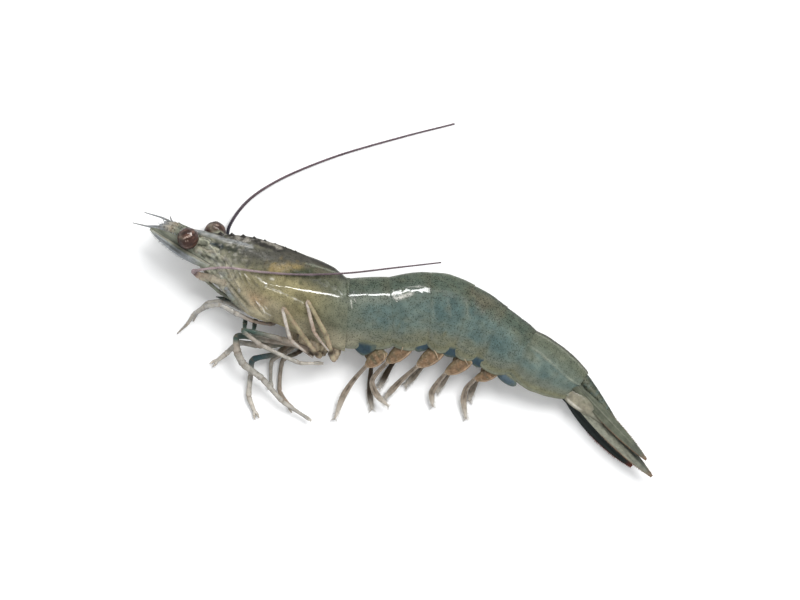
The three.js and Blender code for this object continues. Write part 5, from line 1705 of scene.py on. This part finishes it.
def breast():
    """The stout first segments of the legs, which bulge from under the hem of the head shell."""
    skin = Surface()
    for side in SIDES:
        colour = COXA if side == "left" else LIMB_BROWN
        for index, points in enumerate(LEGS[side]):
            hip, joint = (np.array(point[:3], float) for point in points[:2])
            ahead = unit(joint - hip)
            across = unit(np.cross(UP, ahead))
            reach = 0.62 * np.linalg.norm(joint - hip) + 0.8
            axes = [ahead * reach, across * 1.75, np.cross(ahead, across) * 1.9]
            blob(skin, hip + (joint - hip) * 0.55, axes, colour, 180 + index)
    for index in range(4):
        axes = [(2.2, 0, 0), (0, 2.4, 0.6), (0, -0.4, 3.4)]
        blob(skin, (-9.5 + 3 * index, -8.6, 6.5), axes, MEMBRANE, 190 + index)
    back, left = trunk_ways(0.0, CARAPACE_ROLL)
    for index in range(6):
        for row, aside in enumerate((-3.8, 0.0, 3.8)):
            middle = np.array([-13.0 - 2.6 * index, 0, CARAPACE_HEIGHT]) - 6.0 * back + aside * left
            colour = (SCALE_TAN, MEMBRANE, LIMB_PINK)[(index + row) % 3]
            blob(skin, middle, [(2.4, 0, 0), -0.9 * back, 2.1 * left], colour, 200 + index)
    piece("breast_skin", skin, LIMB, "limb")


# Stage


# Brightness of the sky all about and straight overhead, its colour, and the floor and lamps in metres
SKY_LIGHT = 0.98
ZENITH_LIGHT = 0.36
SKY_COLOUR = (0.98, 0.99, 1, 1)
FLOOR_REACH = 3.0
FLOOR_COLOUR = (0.95, 0.95, 0.95, 1)
LAMP_DISTANCE = 0.9


def lamp(name, direction, size, power):
    """A soft light of a width and height, by its direction in the picture: right, up and near."""
    data = bpy.data.lights.new(name, "AREA")
    data.shape = "RECTANGLE"
    data.size, data.size_y = size
    data.energy = power
    light = bpy.data.objects.new(name, data)
    light.location = plane_turn(PICTURE_TURN, 0, 1) @ unit(np.array(direction)) * LAMP_DISTANCE
    light.rotation_mode = "QUATERNION"
    light.rotation_quaternion = light.location.to_track_quat("Z", "Y")
    bpy.context.scene.collection.objects.link(light)
    return light


def white_floor():
    """A wide matt white surface."""
    mesh = bpy.data.meshes.new("floor")
    corners = [(x * FLOOR_REACH, y * FLOOR_REACH, 0) for x, y in ((-1, -1), (1, -1), (1, 1), (-1, 1))]
    mesh.from_pydata(corners, [], [[0, 1, 2, 3]])
    material = bpy.data.materials.new("white_floor")
    material.use_nodes = True
    tree = material.node_tree
    feed(tree, tree.nodes["Principled BSDF"],
         {"Base Color": FLOOR_COLOUR, "Roughness": 0.7, "Specular IOR Level": 0.2})
    mesh.materials.append(material)
    floor = bpy.data.objects.new("floor", mesh)
    bpy.context.scene.collection.objects.link(floor)


def sky():
    """An even pale sky that is darker straight overhead."""
    world = bpy.data.worlds.new("studio")
    world.use_nodes = True
    tree = world.node_tree
    direction = add_node(tree, "ShaderNodeTexCoord").outputs["Generated"]
    height = add_node(tree, "ShaderNodeSeparateXYZ", {0: direction}).outputs["Z"]
    strength = map_range(tree, height, SKY_LIGHT, ZENITH_LIGHT, 0.75, 0.97)
    feed(tree, tree.nodes["Background"], {"Strength": strength, "Color": SKY_COLOUR})
    bpy.context.scene.world = world


def stage():
    """A white floor under a pale sky, with a soft lamp for the shade and one for the glints."""
    white_floor()
    sky()
    key = lamp("key", direction=(0.38, 0.48, 1.0), size=(0.45, 0.45), power=7.4)
    key.visible_glossy = False
    sparkle = lamp("sparkle", direction=(0.225, 0.761, 0.609), size=(0.8, 0.2), power=12.4)
    sparkle.visible_diffuse = False
    bpy.context.scene.view_settings.view_transform = "Standard"


def camera():
    """The view of the picture, straight down."""
    data = bpy.data.cameras.new("camera")
    data.sensor_width = SENSOR
    span = PICTURE[0] / PIXELS_PER_MM
    data.lens = SENSOR * (CAMERA_HEIGHT - FOCUS_HEIGHT) / span
    aside = np.array([PICTURE[0] / 2 - NECK_PIXEL[0], NECK_PIXEL[1] - PICTURE[1] / 2, 0]) / PIXELS_PER_MM
    made = bpy.data.objects.new("camera", data)
    made.location = (plane_turn(PICTURE_TURN, 0, 1) @ aside + NECK + UP * CAMERA_HEIGHT) * MM
    made.rotation_euler = (0, 0, PICTURE_TURN)
    bpy.context.scene.collection.objects.link(made)
    bpy.context.scene.camera = made


stage()
camera()
carapace()
for ring in range(len(RING_LENGTH)):
    abdomen_ring(ring)
belly()
breast()
head_front()
legs()
maxillipeds()
swimmerets()
eyes()
antennae()
antennules()
scales()
tail_fan()
